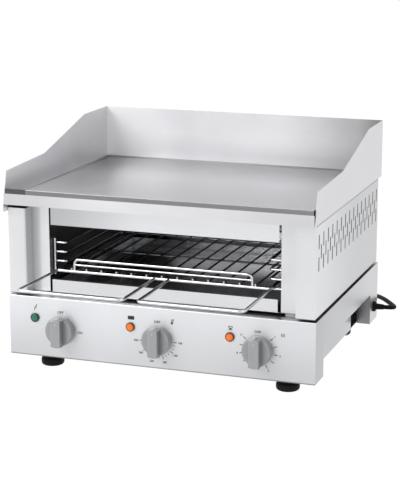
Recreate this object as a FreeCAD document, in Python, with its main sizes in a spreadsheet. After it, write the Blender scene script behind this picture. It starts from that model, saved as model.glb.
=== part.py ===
import FreeCAD, Part
import math
import os
import re
import Sketcher
from FreeCAD import Placement, Rotation, Vector

# A griddle toaster: a grilling plate with a splash guard on top, a toasting
# chamber with a sliding rack under it, and a base that holds the controls.
# X is to the right, Y to the back and Z up. The origin is under the middle of
# the whole appliance, on the surface that its feet stand on.

doc = FreeCAD.newDocument("griddle_toaster")

# Driving sizes in millimetres, angles in degrees
SIZES = [
    ("base_width", 530, "base, side to side"),
    ("base_depth", 418, "base, front to back"),
    ("base_height", 102, "base without its feet"),
    ("panel_sheet", 1.2, "sheet of the base"),
    ("panel_fold", 1.1, "control panel, rounded top edge"),
    ("leg_front", 49, "front leg of a side panel"),
    ("leg_rear", 53, "rear leg of a side panel"),
    ("arch_rise", 54, "height of the arch between the legs"),
    ("recess_depth", 24, "how far the wall in the arch stands back"),
    ("intake_length", 44, "air intake behind the wall in the arch"),
    ("foot_height", 26, "foot, whole height"),
    ("foot_dia", 39, "foot, rubber disc"),
    ("foot_neck_dia", 31, "foot, neck under the base"),
    ("foot_neck_height", 12, "foot, neck under the base"),
    ("foot_round", 5, "foot, rounded edges"),
    ("foot_inset_side", 57, "foot centre from the side of the base"),
    ("foot_inset_front", 43, "foot centre from the front and back of the base"),
    ("case_gap", 4, "dark gap between base and case"),
    ("spacer_side", 30, "pads in the gap"),
    ("spacer_inset", 25, "pads from the edges of the case"),
    ("case_inset", 2.2, "case inside the base at each side"),
    ("case_setback", 4, "case inside the base at the rear"),
    ("case_height", 152, "case, bottom to the hood"),
    ("case_sheet", 1, "sheet of the case"),
    ("post_face", 31.3, "front face of a post"),
    ("post_step", 25, "step back beside a post's face"),
    ("post_drop", 7.5, "left post stops below the hood"),
    ("post_width", 62.3, "post, from the case's side to the chamber"),
    ("liner_space", 19, "space behind the chamber's rear wall"),
    ("roof_space", 6, "space over the chamber"),
    ("header_gap", 3.5, "panel over the mouth, short of the chamber's side"),
    ("header_height", 37, "panel over the chamber's mouth"),
    ("header_setback", 23, "panel from the front of the case"),
    ("header_lip", 12, "lip folded back under the panel"),
    ("vent_height", 22, "side slot"),
    ("vent_width", 2.6, "side slot"),
    ("vent_count", 15, "side slots in a long row"),
    ("vent_first", 18, "first side slot from the front"),
    ("vent_last", 14.36, "last side slot from the case's rear"),
    ("vent_top", 19, "highest row of slots under the hood"),
    ("vent_row", 18, "rows of slots, one to the next"),
    ("rear_vent_count", 12, "rear slots"),
    ("rear_vent_height", 40, "rear slot"),
    ("hood_front", 13.6, "hood, overhang at the front"),
    ("hood_rear", 11, "hood, overhang behind the base"),
    ("hood_sheet", 1.2, "sheet of the hood"),
    ("fascia_height", 18.4, "bright strip under the plate"),
    ("pan_rim", 8, "rim of the pan under the plate"),
    ("seam", 0.3, "play between sheets that only meet"),
    ("guard_sheet", 1.2, "sheet of the splash guard"),
    ("guard_lean", 13.6, "side guard, front edge leans back"),
    ("guard_front", 53.5, "side guard, height at the front"),
    ("guard_low_back", 150, "side guard, where it begins to rise"),
    ("guard_low", 57.8, "side guard, height there"),
    ("guard_high_back", 325, "side guard, where it stops rising"),
    ("guard_height", 100.3, "splash guard, height at the rear"),
    ("drip_lip", 13, "left guard, lip below the hood"),
    ("drip_round", 5, "left guard, rounded corner of the lip"),
    ("plate_thickness", 8, "griddle plate"),
    ("rear_channel", 78.6, "channel behind the plate, to the hood's rear edge"),
    ("plate_gap", 1.4, "griddle plate to the right guard"),
    ("plate_fall", 1.17, "griddle plate, fall to the rear"),
    ("plate_edge", 0.8, "griddle plate, rounded top edge"),
    ("channel_width", 41, "grease channel left of the plate"),
    ("rib_inset", 10, "rib under the plate from its rear edge"),
    ("tray_play", 0.4, "grease tray, play on all sides"),
    ("tray_sheet", 1, "grease tray"),
    ("tray_lip", 2.5, "grease tray, lips at the sides"),
    ("griddle_tube", 6.6, "heating tube under the plate"),
    ("griddle_runs", 3, "runs of one heating tube"),
    ("griddle_pitch", 50, "runs, one to the next"),
    ("griddle_first", 45, "first run from the front of the plate"),
    ("griddle_inset", 30, "heating tubes from the plate's ends"),
    ("clamp_width", 14, "bar under the heating tubes"),
    ("clamp_sheet", 2, "bar under the heating tubes"),
    ("clamp_stud", 5, "stud that holds a bar"),
    ("clamp_pitch", 140, "bars, one to the next"),
    ("clearance", 0.3, "piece that rests on another"),
    ("toast_tube", 8, "heating tube in the chamber"),
    ("toast_hairpin", 50, "two runs of a hairpin"),
    ("toast_pitch", 125, "hairpins, one to the next"),
    ("toast_front", 60, "hairpin from the front of the case"),
    ("toast_drop", 18, "hairpins under the hood"),
    ("toast_tail", 9, "hairpin ends behind the rear wall"),
    ("wire_hole", 0.4, "play round a tube in the rear wall"),
    ("mesh_bar", 4, "cross wire of the element guard"),
    ("mesh_wire", 3, "long wire of the element guard"),
    ("mesh_count", 9, "long wires of the element guard"),
    ("mesh_edge", 24.5, "outermost long wire from the chamber's side"),
    ("mesh_front", 45, "element guard from the front of the case"),
    ("mesh_rear", 15, "element guard from the chamber's rear wall"),
    ("guide_wire", 4, "rail of a rack guide"),
    ("guide_post", 4.8, "upright of a rack guide"),
    ("guide_levels", 4, "levels of a rack guide"),
    ("guide_pitch", 15.8, "levels, one to the next"),
    ("guide_front", 40, "rack guide from the front of the case"),
    ("guide_rear", 65, "rack guide from the chamber's rear wall"),
    ("guide_over", 6, "rail of a guide, past the rack's side bar"),
    ("guide_bend", 5, "corner of a guide wire"),
    ("guide_tail", 7, "upright of a guide over and under the levels"),
    ("rack_level", 39.5, "middle of the rack's frame over the case's bottom"),
    ("rack_front", 20, "rack, front bar from the front of the case"),
    ("rack_rear", 77, "rack, rear bar from the chamber's rear wall"),
    ("rack_rod", 5, "frame of the rack"),
    ("rack_play", 13.5, "front bar's end from the chamber's side"),
    ("rack_inset", 4, "side bar from the front bar's end"),
    ("rack_wire", 3.2, "wire of the rack"),
    ("rack_wires", 13, "wires of the rack"),
    ("rack_edge", 23.82, "outermost wire from a side bar"),
    ("rack_stub", 3.4, "wire ends turned up at the front bar"),
    ("rack_cross", 152, "cross wire from the front bar"),
    ("handle_rod", 5, "wire of a handle"),
    ("handle_reach", 121, "handle bar in front of the control panel"),
    ("handle_inset", 2, "handle, outer leg from the front bar's end"),
    ("handle_inner", 12.5, "handle, inner leg from the middle"),
    ("handle_splay", 7, "left handle, outer corner bent outwards"),
    ("handle_bend", 9, "corner of a handle"),
    ("stop_rod", 4.4, "upright rail of the rack"),
    ("stop_wire", 3, "middle wire of the rail"),
    ("stop_inset", 33, "leg of the rail from the front bar's end"),
    ("stop_height", 20.5, "rail over the front bar"),
    ("stop_bend", 8, "corner of the rail"),
    ("crumb_gap", 5, "crumb tray from the chamber's side"),
    ("crumb_front", 22, "crumb tray from the front of the case"),
    ("crumb_rear", 13, "crumb tray from the chamber's rear wall"),
    ("crumb_height", 21, "crumb tray, front panel"),
    ("crumb_wall", 14, "crumb tray, side walls"),
    ("crumb_lip", 9, "crumb tray, lip folded back at the top"),
    ("crumb_sheet", 0.8, "crumb tray"),
    ("knob_pitch", 171, "knobs, one to the next"),
    ("knob_height", 48.5, "knob centres over the base's bottom"),
    ("knob_dia", 49, "knob"),
    ("knob_skirt", 14, "knob, thickness of the disc"),
    ("knob_depth", 27, "knob, panel to the front of the grip"),
    ("knob_grip", 18, "knob, width of the grip"),
    ("knob_gap", 1, "knob clear of the panel"),
    ("knob_bore", 16, "knob, depth of the bore"),
    ("knob_rim", 0.4, "knob, grip ends inside the edge of the disc"),
    ("knob_disc_round", 3, "knob, rounded edge of the disc"),
    ("knob_grip_round", 2, "knob, rounded edges of the grip"),
    ("shaft_dia", 6, "control shaft"),
    ("shaft_play", 0.25, "play round a shaft"),
    ("shaft_reach", 15, "shaft in front of the panel"),
    ("shaft_tail", 14, "shaft behind the panel"),
    ("bush_dia", 9.4, "bush of a control in the panel"),
    ("bush_hole", 10, "hole for a bush"),
    ("switch_width", 36, "power switch"),
    ("switch_height", 40, "power switch"),
    ("switch_depth", 38, "power switch"),
    ("thermostat_width", 46, "griddle thermostat"),
    ("thermostat_height", 36, "griddle thermostat"),
    ("thermostat_depth", 30, "griddle thermostat"),
    ("timer_width", 50, "toast timer"),
    ("timer_height", 50, "toast timer"),
    ("timer_depth", 46, "toast timer"),
    ("lamp_offset", 47.5, "lamp left of its knob"),
    ("lamp_height", 66.3, "lamps over the base's bottom"),
    ("lamp_ring", 15.2, "lamp, dark ring"),
    ("lamp_ring_depth", 2.6, "lamp, dark ring"),
    ("lamp_lens", 13.2, "lamp, lens"),
    ("lamp_dome", 4.6, "lamp, lens in front of the panel"),
    ("lamp_stem", 9.6, "lamp, stem in the panel"),
    ("lamp_stem_length", 24, "lamp, stem behind the panel"),
    ("lamp_hole", 10, "hole for a lamp"),
    ("block_length", 62, "terminal block"),
    ("block_width", 20, "terminal block"),
    ("block_height", 17, "terminal block"),
    ("block_inset", 70, "terminal block from the side and the rear"),
    ("screw_head_dia", 7, "screw head"),
    ("screw_head_height", 2.2, "screw head"),
    ("screw_dia", 3.5, "screw"),
    ("screw_length", 7, "screw behind the sheet"),
    ("screw_play", 0.1, "play round a screw"),
    ("screw_inset", 14, "screws from the edges of a rear panel"),
    ("gland_inset", 28, "cable gland from the base's rear"),
    ("gland_height", 27, "cable gland over the base's bottom"),
    ("gland_flange_dia", 19, "cable gland, flange"),
    ("gland_flange", 4.5, "cable gland, flange"),
    ("gland_body_dia", 13, "cable gland in the panel"),
    ("gland_body", 12, "cable gland in the panel"),
    ("gland_sleeve", 14, "cable gland, tapered sleeve"),
    ("gland_root_dia", 11.5, "cable gland, sleeve at the flange"),
    ("gland_tip_dia", 9.4, "cable gland, sleeve at its tip"),
    ("cord_dia", 8, "supply cord"),
    ("coil_x", 118, "coil centre right of the middle"),
    ("coil_behind", 82, "coil centre behind the base"),
    ("coil_radius", 54, "coil, outer turn"),
    ("coil_pitch", 8.6, "coil, turn to turn and layer to layer"),
    ("coil_turns", 5, "coil, turns in both layers"),
    ("tail_length", 54, "cord from the coil to the plug"),
    ("plug_length", 42, "plug, moulded body"),
    ("plug_width", 37, "plug, moulded body"),
    ("plug_neck", 24, "plug, neck"),
    ("plug_neck_dia", 13, "plug, neck at the body"),
    ("pin_dia", 4.8, "plug pin"),
    ("pin_length", 19, "plug pin"),
    ("pin_spacing", 19, "plug pins, one to the other"),
]

sheet = doc.addObject("Spreadsheet::Sheet", "Sizes")
for row, (alias, value, meaning) in enumerate(SIZES, start=1):
    sheet.set("A%d" % row, str(value))
    sheet.setAlias("A%d" % row, alias)
    sheet.set("B%d" % row, meaning)
doc.recompute()

# Places that follow from the sizes; front is the base's front face
PLACES = [
    ("front", "-(base_depth + hood_rear - handle_reach - handle_rod / 2) / 2"),
    ("half", "base_width / 2"),
    ("case_half", "half - case_inset"),
    ("case_depth", "base_depth - case_setback"),
    ("mouth", "case_half - post_width"),
    ("liner_back", "case_depth - liner_space"),
    ("base_top", "foot_height + base_height"),
    ("case_bottom", "base_top + case_gap"),
    ("case_floor", "case_bottom + case_sheet"),
    ("case_top", "case_bottom + case_height"),
    ("wall_top", "case_top - roof_space"),
    ("header_half", "mouth - header_gap"),
    ("vent_pitch", "(case_depth - vent_first - vent_last) / (vent_count - 1)"),
    ("vent_low", "case_height - vent_top - vent_height - 2 * vent_row"),
    ("pan_top", "case_top + hood_sheet"),
    ("pan_half", "half - guard_sheet - seam"),
    ("hood_back", "base_depth + hood_rear"),
    ("plate_depth", "hood_back + hood_front - rear_channel"),
    ("plate_left", "channel_width - half"),
    ("plate_width", "base_width - channel_width - guard_sheet - plate_gap"),
    ("toast_level", "case_height - toast_drop"),
    ("mesh_pitch", "2 * (mouth - mesh_edge) / (mesh_count - 1)"),
    ("mesh_length", "liner_back - mesh_front - mesh_rear"),
    ("guide_length", "liner_back - guide_front - guide_rear"),
    ("rack_z", "case_bottom + rack_level"),
    ("rack_depth", "liner_back - rack_front - rack_rear"),
    ("rack_reach", "mouth - rack_play"),
    ("rack_rail", "rack_reach - rack_inset"),
    ("rack_pitch", "2 * (rack_rail - rack_edge) / (rack_wires - 1)"),
    ("stop_reach", "rack_reach - stop_inset"),
    ("handle_outer", "rack_reach - handle_inset"),
    ("crumb_half", "mouth - crumb_gap"),
    ("crumb_depth", "liner_back - crumb_front - crumb_rear"),
    ("knob_z", "foot_height + knob_height"),
    ("lamp_z", "foot_height + lamp_height"),
    ("recess_x", "half - recess_depth"),
    ("gland_back", "base_depth - gland_inset"),
    ("coil_back", "base_depth + coil_behind"),
]


def qualify(text):
    """Prefix every size and place in an expression with its owner."""
    return re.sub(r"[a-z][a-z_]*", lambda word: OWNER.get(word.group(), word.group()), text)


OWNER = {alias: "Sizes." + alias for alias, value, meaning in SIZES}
places = doc.addObject("App::VarSet", "Places")
for place, formula in PLACES:
    places.addProperty("App::PropertyFloat", place)
    places.setExpression(place, qualify(formula))
    OWNER[place] = "Places." + place
doc.recompute()

PARTS = []


def size(name):
    """Value of a size or a place."""
    return float(getattr(places, name, None) if hasattr(places, name) else getattr(sheet, name))


def count(name):
    """Value of a size that counts things."""
    return int(round(size(name)))


def finish(item, label):
    """Name a finished sub-part and list it for export."""
    item.Label = label
    PARTS.append(item)
    return item


def put(item, at):
    """Bind an object's position to three expressions."""
    for axis, text in zip("xyz", at):
        item.setExpression("Placement.Base." + axis, qualify(text))


def box(name, extent, at):
    """Block with its lowest corner at a place."""
    item = doc.addObject("Part::Box", name)
    for side, text in zip(("Length", "Width", "Height"), extent):
        item.setExpression(side, qualify(text))
    put(item, at)
    return item


def bar(name, half_x, extent_y, extent_z):
    """Block centred on X: half width, then (start, length) in Y from the front and in Z."""
    extent = ("2 * (%s)" % half_x, extent_y[1], extent_z[1])
    return box(name, extent, ("-(%s)" % half_x, "front + (%s)" % extent_y[0], extent_z[0]))


def side_box(name, side, inner, width, extent_y, extent_z):
    """Block on the left (-1) or right (1): inner face from the middle, width, then Y and Z."""
    start = inner if side > 0 else "-(%s) - (%s)" % (inner, width)
    extent = (width, extent_y[1], extent_z[1])
    return box(name, extent, (start, "front + (%s)" % extent_y[0], extent_z[0]))


def rod(name, radius, length, at, along):
    """Cylinder that starts at a place and runs along X, Y or Z."""
    item = doc.addObject("Part::Cylinder", name)
    item.setExpression("Radius", qualify(radius))
    item.setExpression("Height", qualify(length))
    item.Placement = Placement(Vector(), Rotation(Vector(0, 0, 1), along))
    put(item, at)
    return item


def fuse(name, items):
    """One object from several that meet."""
    joined = doc.addObject("Part::MultiFuse", name)
    joined.Shapes = items
    joined.Refine = True
    return joined


def cut(name, base, tools):
    """Object with others taken out of it."""
    result = doc.addObject("Part::Cut", name)
    result.Base = base
    result.Tool = tools[0] if len(tools) == 1 else fuse(name + "_tools", tools)
    return result


def draw(body, name, plane, loops):
    """Sketch of closed loops whose corners are bound to expressions."""
    drawing = body.newObject("Sketcher::SketchObject", name)
    support = next(item for item in body.Origin.OriginFeatures if item.Role == plane)
    drawing.AttachmentSupport = [(support, "")]
    drawing.MapMode = "FlatFace"
    for loop in loops:
        if loop[0] == "circle":
            circle = drawing.addGeometry(Part.Circle(Vector(), Vector(0, 0, 1), 1), False)
            pin_point(drawing, circle, 3, loop[1:3])
            radius = drawing.addConstraint(Sketcher.Constraint("Radius", circle, 1))
            drawing.setExpression("Constraints[%d]" % radius, qualify(loop[3]))
            continue
        first = drawing.GeometryCount
        total = len(loop)
        for index in range(total):
            angle = 2 * math.pi * index / total
            after = 2 * math.pi * (index + 1) / total
            start = Vector(math.cos(angle), math.sin(angle), 0)
            end = Vector(math.cos(after), math.sin(after), 0)
            drawing.addGeometry(Part.LineSegment(start, end), False)
        for index in range(total):
            following = first + (index + 1) % total
            drawing.addConstraint(Sketcher.Constraint("Coincident", first + index, 2, following, 1))
        for index, corner in enumerate(loop):
            pin_point(drawing, first + index, 1, corner)
    return drawing


def pin_point(drawing, geometry, vertex, corner):
    """Bind one point of a sketch to a pair of expressions."""
    for kind, text in zip(("DistanceX", "DistanceY"), corner):
        number = drawing.addConstraint(Sketcher.Constraint(kind, -1, 1, geometry, vertex, 1))
        drawing.setExpression("Constraints[%d]" % number, qualify(text))


def rectangle(u, v, width, height):
    """Loop of a rectangle from its lowest corner."""
    right = "(%s) + (%s)" % (u, width)
    top = "(%s) + (%s)" % (v, height)
    return [(u, v), (right, v), (right, top), (u, top)]


def plate(name, plane, loops, thickness, at):
    """Body padded from loops on a plane, towards +X, +Y or +Z."""
    body = doc.addObject("PartDesign::Body", name)
    drawing = draw(body, name + "_outline", plane, loops)
    pad = body.newObject("PartDesign::Pad", name + "_pad")
    pad.Profile = drawing
    pad.setExpression("Length", qualify(thickness))
    pad.Reversed = plane == "XZ_Plane"
    put(body, at)
    return body, pad


def feature(name, shape):
    """Object for a shape that is bent wire or turned."""
    item = doc.addObject("Part::Feature", name)
    item.Shape = shape
    return item


ALONG_X = Vector(1, 0, 0)
ALONG_Y = Vector(0, 1, 0)
ALONG_Z = Vector(0, 0, 1)
SIDES = (("left", -1), ("right", 1))
KNOBS = (("power", "-knob_pitch"), ("griddle", "0"), ("toast", "knob_pitch"))


# Bent wire

def corner_radius(before, corner, after, bend):
    """Bend radius at a corner: the stated one, or as large as the runs allow."""
    arriving = corner - before
    leaving = after - corner
    turn = arriving.getAngle(leaving)
    if bend:
        return bend, turn
    return 0.45 * min(arriving.Length, leaving.Length) / math.tan(turn / 2), turn


def bent_path(points, bend=None):
    """Wire of straight runs joined by tangent arcs, and the radii of its arcs."""
    edges = []
    radii = []
    here = points[0]
    for before, corner, after in zip(points, points[1:], points[2:]):
        radius, turn = corner_radius(before, corner, after, bend)
        radii.append(radius)
        arriving = (corner - before).normalize()
        leaving = (after - corner).normalize()
        trim = radius * math.tan(turn / 2)
        start = corner - arriving * trim
        end = corner + leaving * trim
        inward = (leaving - arriving).normalize()
        middle = corner + inward * (radius / math.cos(turn / 2) - radius)
        if (start - here).Length > 1e-6:
            edges.append(Part.LineSegment(here, start).toShape())
        edges.append(Part.Arc(start, middle, end).toShape())
        here = end
    edges.append(Part.LineSegment(here, points[-1]).toShape())
    return Part.Wire(edges), radii


def tube(path, diameter):
    """Solid round wire along a path."""
    start = path.OrderedEdges[0]
    tangent = start.tangentAt(start.FirstParameter)
    origin = start.valueAt(start.FirstParameter)
    ring = Part.Wire(Part.makeCircle(diameter / 2, origin, tangent))
    return path.makePipeShell([ring], True, False)


def straight(start, end, diameter):
    """Solid round wire between two points."""
    return Part.makeCylinder(diameter / 2, (end - start).Length, start, end - start)


def spread(number, pitch):
    """Places of evenly spaced things about the middle."""
    return [(index - (number - 1) / 2) * pitch for index in range(number)]


# Base

def control_panel():
    holes = [("circle", x, "knob_height", "bush_hole / 2") for name, x in KNOBS]
    holes += [("circle", x + " - lamp_offset", "lamp_height", "lamp_hole / 2") for name, x in KNOBS]
    outline = rectangle("-half", "0", "base_width", "base_height")
    body, pad = plate("control_panel", "XZ_Plane", [outline] + holes, "panel_sheet",
                      ("0", "front", "foot_height"))
    doc.recompute()
    names = ["Edge%d" % number for number, edge in enumerate(pad.Shape.Edges, start=1)
             if edge.BoundBox.ZMin > size("base_height") - 0.01 and edge.BoundBox.YMax < 0.01]
    rounded = body.newObject("PartDesign::Fillet", "control_panel_fold")
    rounded.Base = (pad, names)
    rounded.setExpression("Radius", qualify("panel_fold"))
    finish(body, "control_panel")


def base_side(name, side):
    label = "base_side_" + name
    far = "base_depth - panel_sheet"
    arch_end = "base_depth - leg_rear"
    outline = [("panel_sheet", "0"), ("leg_front", "0"), ("leg_front", "arch_rise"), (arch_end, "arch_rise"),
               (arch_end, "0"), (far, "0"), (far, "base_height"), ("panel_sheet", "base_height")]
    loops = [outline]
    if side > 0:
        loops.append(("circle", "gland_back", "gland_height", "gland_body_dia / 2 + screw_play"))
    start = "half - panel_sheet" if side > 0 else "-half"
    skin, pad = plate(label + "_skin", "YZ_Plane", loops, "panel_sheet", (start, "front", "foot_height"))
    fold = "recess_depth - panel_sheet"
    wall_length = arch_end + " - leg_front - intake_length"
    fold_height = ("foot_height", "arch_rise + panel_sheet")
    pieces = [
        skin,
        side_box(label + "_shelf", side, "recess_x", fold, ("leg_front", arch_end + " - leg_front"),
                 ("foot_height + arch_rise", "panel_sheet")),
        side_box(label + "_wall", side, "recess_x - panel_sheet", "panel_sheet",
                 ("leg_front - panel_sheet", wall_length + " + panel_sheet"), fold_height),
        side_box(label + "_front_fold", side, "recess_x - panel_sheet", "recess_depth",
                 ("leg_front - panel_sheet", "panel_sheet"), fold_height),
        side_box(label + "_rear_fold", side, "recess_x", fold, (arch_end, "panel_sheet"), fold_height),
    ]
    finish(fuse(label, pieces), label)


def base_floor():
    depth = "base_depth - 2 * panel_sheet"
    finish(bar("base_floor", "recess_x - panel_sheet", ("panel_sheet", depth),
               ("foot_height", "panel_sheet")), "base_floor")


def base_deck():
    depth = "base_depth - 2 * panel_sheet"
    finish(bar("base_deck", "half - panel_sheet", ("panel_sheet", depth),
               ("base_top - panel_sheet", "panel_sheet")), "base_deck")


def screw_rows(half_width, height):
    """Screw places on a rear panel: two at each side, from its middle and its bottom."""
    reach = "(%s) - screw_inset" % half_width
    return [(sign + "(" + reach + ")", level)
            for sign in ("", "-") for level in ("screw_inset", height + " - screw_inset")]


def screw_holes(half_width, height):
    return [("circle", x, z, "screw_dia / 2 + screw_play") for x, z in screw_rows(half_width, height)]


def base_rear_panel():
    outline = rectangle("-half", "0", "base_width", "base_height")
    body, pad = plate("base_rear_panel", "XZ_Plane", [outline] + screw_holes("half", "base_height"),
                      "panel_sheet", ("0", "front + base_depth - panel_sheet", "foot_height"))
    finish(body, "base_rear_panel")


def foot(label, x, y):
    neck = rod(label + "_neck", "foot_neck_dia / 2", "foot_neck_height",
               (x, y, "foot_height - foot_neck_height"), ALONG_Z)
    disc = rod(label + "_disc", "foot_dia / 2", "foot_height - foot_neck_height", (x, y, "0"), ALONG_Z)
    doc.recompute()
    rounded = doc.addObject("Part::Fillet", label + "_rounded")
    rounded.Base = disc
    rims = [number for number, edge in enumerate(disc.Shape.Edges, start=1)
            if edge.BoundBox.ZMax - edge.BoundBox.ZMin < 0.01]
    rounded.Edges = [(number, size("foot_round"), size("foot_round")) for number in rims]
    finish(fuse(label, [neck, rounded]), label)


# Case

def case_spacers():
    pads = []
    for name, side in SIDES:
        for row, back in (("front", "spacer_inset"), ("rear", "case_depth - spacer_inset - spacer_side")):
            pads.append(side_box("case_spacer_%s_%s" % (row, name), side,
                                 "case_half - spacer_inset - spacer_side", "spacer_side",
                                 (back, "spacer_side"), ("base_top", "case_gap")))
    group = doc.addObject("Part::Compound", "case_spacers")
    group.Links = pads
    finish(group, "case_spacers")


def chamber_liner():
    notch = "post_step - case_sheet"
    floor = bar("chamber_floor", "case_half", (notch, "case_depth - post_step + case_sheet"),
                ("case_bottom", "case_sheet"))
    tabs = [side_box("chamber_tab_" + name, side, "case_half - post_face", "post_face", ("0", notch),
                     ("case_bottom", "case_sheet")) for name, side in SIDES]
    walls = [side_box("chamber_wall_" + name, side, "mouth", "case_sheet",
                      ("post_step", "liner_back - post_step"), ("case_floor", "wall_top - case_floor"))
             for name, side in SIDES]
    finish(fuse("chamber_liner", [floor] + tabs + walls), "chamber_liner")


def case_post(name, side):
    sign = "" if side > 0 else "-"
    step = "case_half - post_face"
    plan = [("case_half", "0"), (step, "0"), (step, "post_step - case_sheet"),
            ("mouth", "post_step - case_sheet"), ("mouth", "post_step"),
            (step + " + case_sheet", "post_step"), (step + " + case_sheet", "case_sheet"),
            ("case_half", "case_sheet")]
    drop = "0" if side > 0 else "post_drop"
    body, pad = plate("case_post_" + name, "XY_Plane", [[("%s(%s)" % (sign, x), y) for x, y in plan]],
                      "case_top - case_floor - " + drop, ("0", "front", "case_floor"))
    finish(body, "case_post_" + name)


def case_side(name, side):
    label = "case_side_" + name
    outline = rectangle("case_sheet", "0", "case_depth - 2 * case_sheet", "case_top - case_floor")
    start = "case_half - case_sheet" if side > 0 else "-case_half"
    body, pad = plate(label, "YZ_Plane", [outline], "case_sheet", (start, "front", "case_floor"))
    doc.recompute()
    for row in range(3):
        staggered = row == 1
        shift = " + vent_pitch / 2" if staggered else ""
        low = "vent_low - case_sheet + %d * vent_row" % row
        slot = rectangle("vent_first" + shift, low, "vent_width", "vent_height")
        pocket = body.newObject("PartDesign::Pocket", "%s_slot_%d" % (label, row))
        pocket.Profile = draw(body, "%s_slot_outline_%d" % (label, row), "YZ_Plane", [slot])
        pocket.Type = "ThroughAll"
        pocket.Reversed = True
        doc.recompute()
        pattern = body.newObject("PartDesign::LinearPattern", "%s_slots_%d" % (label, row))
        pattern.Originals = [pocket]
        pattern.Direction = (pocket.Profile[0], ["H_Axis"])
        number = "vent_count - 1" if staggered else "vent_count"
        pattern.setExpression("Length", qualify("vent_pitch * (%s - 1)" % number))
        pattern.setExpression("Occurrences", qualify(number))
        body.Tip = pattern
        doc.recompute()
    finish(body, label)


def case_rear_panel():
    height = "case_top - case_floor"
    outline = rectangle("-case_half", "0", "2 * case_half", height)
    slots = [rectangle("%g * vent_pitch - vent_width" % place, "case_height / 2", "2 * vent_width",
                       "rear_vent_height") for place in spread(count("rear_vent_count"), 1)]
    holes = screw_holes("case_half", height)
    body, pad = plate("case_rear_panel", "XZ_Plane", [outline] + slots + holes, "case_sheet",
                      ("0", "front + case_depth - case_sheet", "case_floor"))
    finish(body, "case_rear_panel")


def hairpin_places():
    """Expressions of the X places where hairpin ends pass the rear wall."""
    return ["%d * toast_pitch %s toast_hairpin / 2" % (number, sign)
            for number in (-1, 0, 1) for sign in ("-", "+")]


def chamber_rear_wall():
    outline = rectangle("-mouth", "0", "2 * mouth", "wall_top - case_floor")
    holes = [("circle", x, "toast_level - case_sheet", "toast_tube / 2 + wire_hole") for x in hairpin_places()]
    body, pad = plate("chamber_rear_wall", "XZ_Plane", [outline] + holes, "case_sheet",
                      ("0", "front + liner_back", "case_floor"))
    finish(body, "chamber_rear_wall")


def heat_reflector():
    finish(bar("heat_reflector", "mouth + case_sheet", ("post_step", "liner_back + case_sheet - post_step"),
               ("wall_top", "case_sheet")), "heat_reflector")


def header_panel():
    low = "case_top - header_height"
    face = bar("header_face", "header_half", ("header_setback", "case_sheet"), (low, "header_height"))
    lip = bar("header_fold", "header_half", ("header_setback", "header_lip"), (low, "case_sheet"))
    finish(fuse("header_panel", [face, lip]), "header_panel")


# Hood, griddle plate and splash guard

def hood_pan():
    start = "hood_sheet - hood_front"
    depth = "hood_back - guard_sheet - seam - (%s)" % start
    floor = bar("hood_pan_floor", "pan_half", (start, depth), ("case_top", "hood_sheet"))
    rims = [side_box("hood_pan_rim_" + name, side, "pan_half - hood_sheet", "hood_sheet", (start, depth),
                     ("case_top", "pan_rim")) for name, side in SIDES]
    rear = bar("hood_pan_rim_rear", "pan_half", ("hood_back - guard_sheet - seam - hood_sheet", "hood_sheet"),
               ("case_top", "pan_rim"))
    back = "plate_depth - hood_front - rib_inset"
    lift = "fascia_height - (plate_depth - rib_inset) * tan(plate_fall) - clearance"
    rib = box("hood_pan_rib", ("plate_width - 2 * griddle_inset", "hood_sheet", lift),
              ("plate_left + griddle_inset", "front + " + back, "case_top"))
    finish(fuse("hood_pan", [floor, rear, rib] + rims), "hood_pan")


def hood_fascia():
    finish(bar("hood_fascia", "pan_half", ("-hood_front", "hood_sheet"), ("case_top", "fascia_height")),
           "hood_fascia")


def splash_guard_side(name, side):
    label = "splash_guard_" + name
    low = "0" if side > 0 else "-drip_lip"
    outline = [("-hood_front", low), ("-hood_front", "0"), ("guard_lean - hood_front", "guard_front"),
               ("guard_low_back", "guard_low"), ("guard_high_back", "guard_height"),
               ("hood_back", "guard_height"), ("hood_back", low)]
    if side > 0:
        outline = outline[1:]
    start = "half - guard_sheet" if side > 0 else "-half"
    body, pad = plate(label, "YZ_Plane", [outline], "guard_sheet", (start, "front", "case_top"))
    if side < 0:
        doc.recompute()
        corner = Vector(0, -size("hood_front"), -size("drip_lip"))
        names = ["Edge%d" % number for number, edge in enumerate(pad.Shape.Edges, start=1)
                 if all(math.hypot(point.Y - corner.y, point.Z - corner.z) < 0.01 for point in edge.Vertexes)]
        rounded = body.newObject("PartDesign::Fillet", label + "_rounded")
        rounded.Base = (pad, names)
        rounded.setExpression("Radius", qualify("drip_round"))
    finish(body, label)


def splash_guard_rear():
    finish(bar("splash_guard_rear", "half - guard_sheet", ("hood_back - guard_sheet", "guard_sheet"),
               ("case_top", "guard_height")), "splash_guard_rear")


def tilt(item):
    """Lay a piece on the slope of the griddle plate, from the plate's front lower edge."""
    item.Placement = Placement(Vector(), Rotation(ALONG_X, -1))
    item.setExpression("Placement.Rotation.Angle", qualify("-plate_fall"))
    put(item, ("plate_left", "front - hood_front", "case_top + fascia_height"))


def griddle_plate():
    outline = rectangle("0", "0", "plate_width", "plate_depth")
    body, pad = plate("griddle_plate", "XY_Plane", [outline], "plate_thickness", ("0", "0", "0"))
    tilt(body)
    doc.recompute()
    top = size("plate_thickness")
    names = ["Edge%d" % number for number, edge in enumerate(pad.Shape.Edges, start=1)
             if all(abs(point.Z - top) < 0.01 for point in edge.Vertexes)]
    rounded = body.newObject("PartDesign::Fillet", "griddle_plate_rounded")
    rounded.Base = (pad, names)
    rounded.setExpression("Radius", qualify("plate_edge"))
    finish(body, "griddle_plate")


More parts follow.
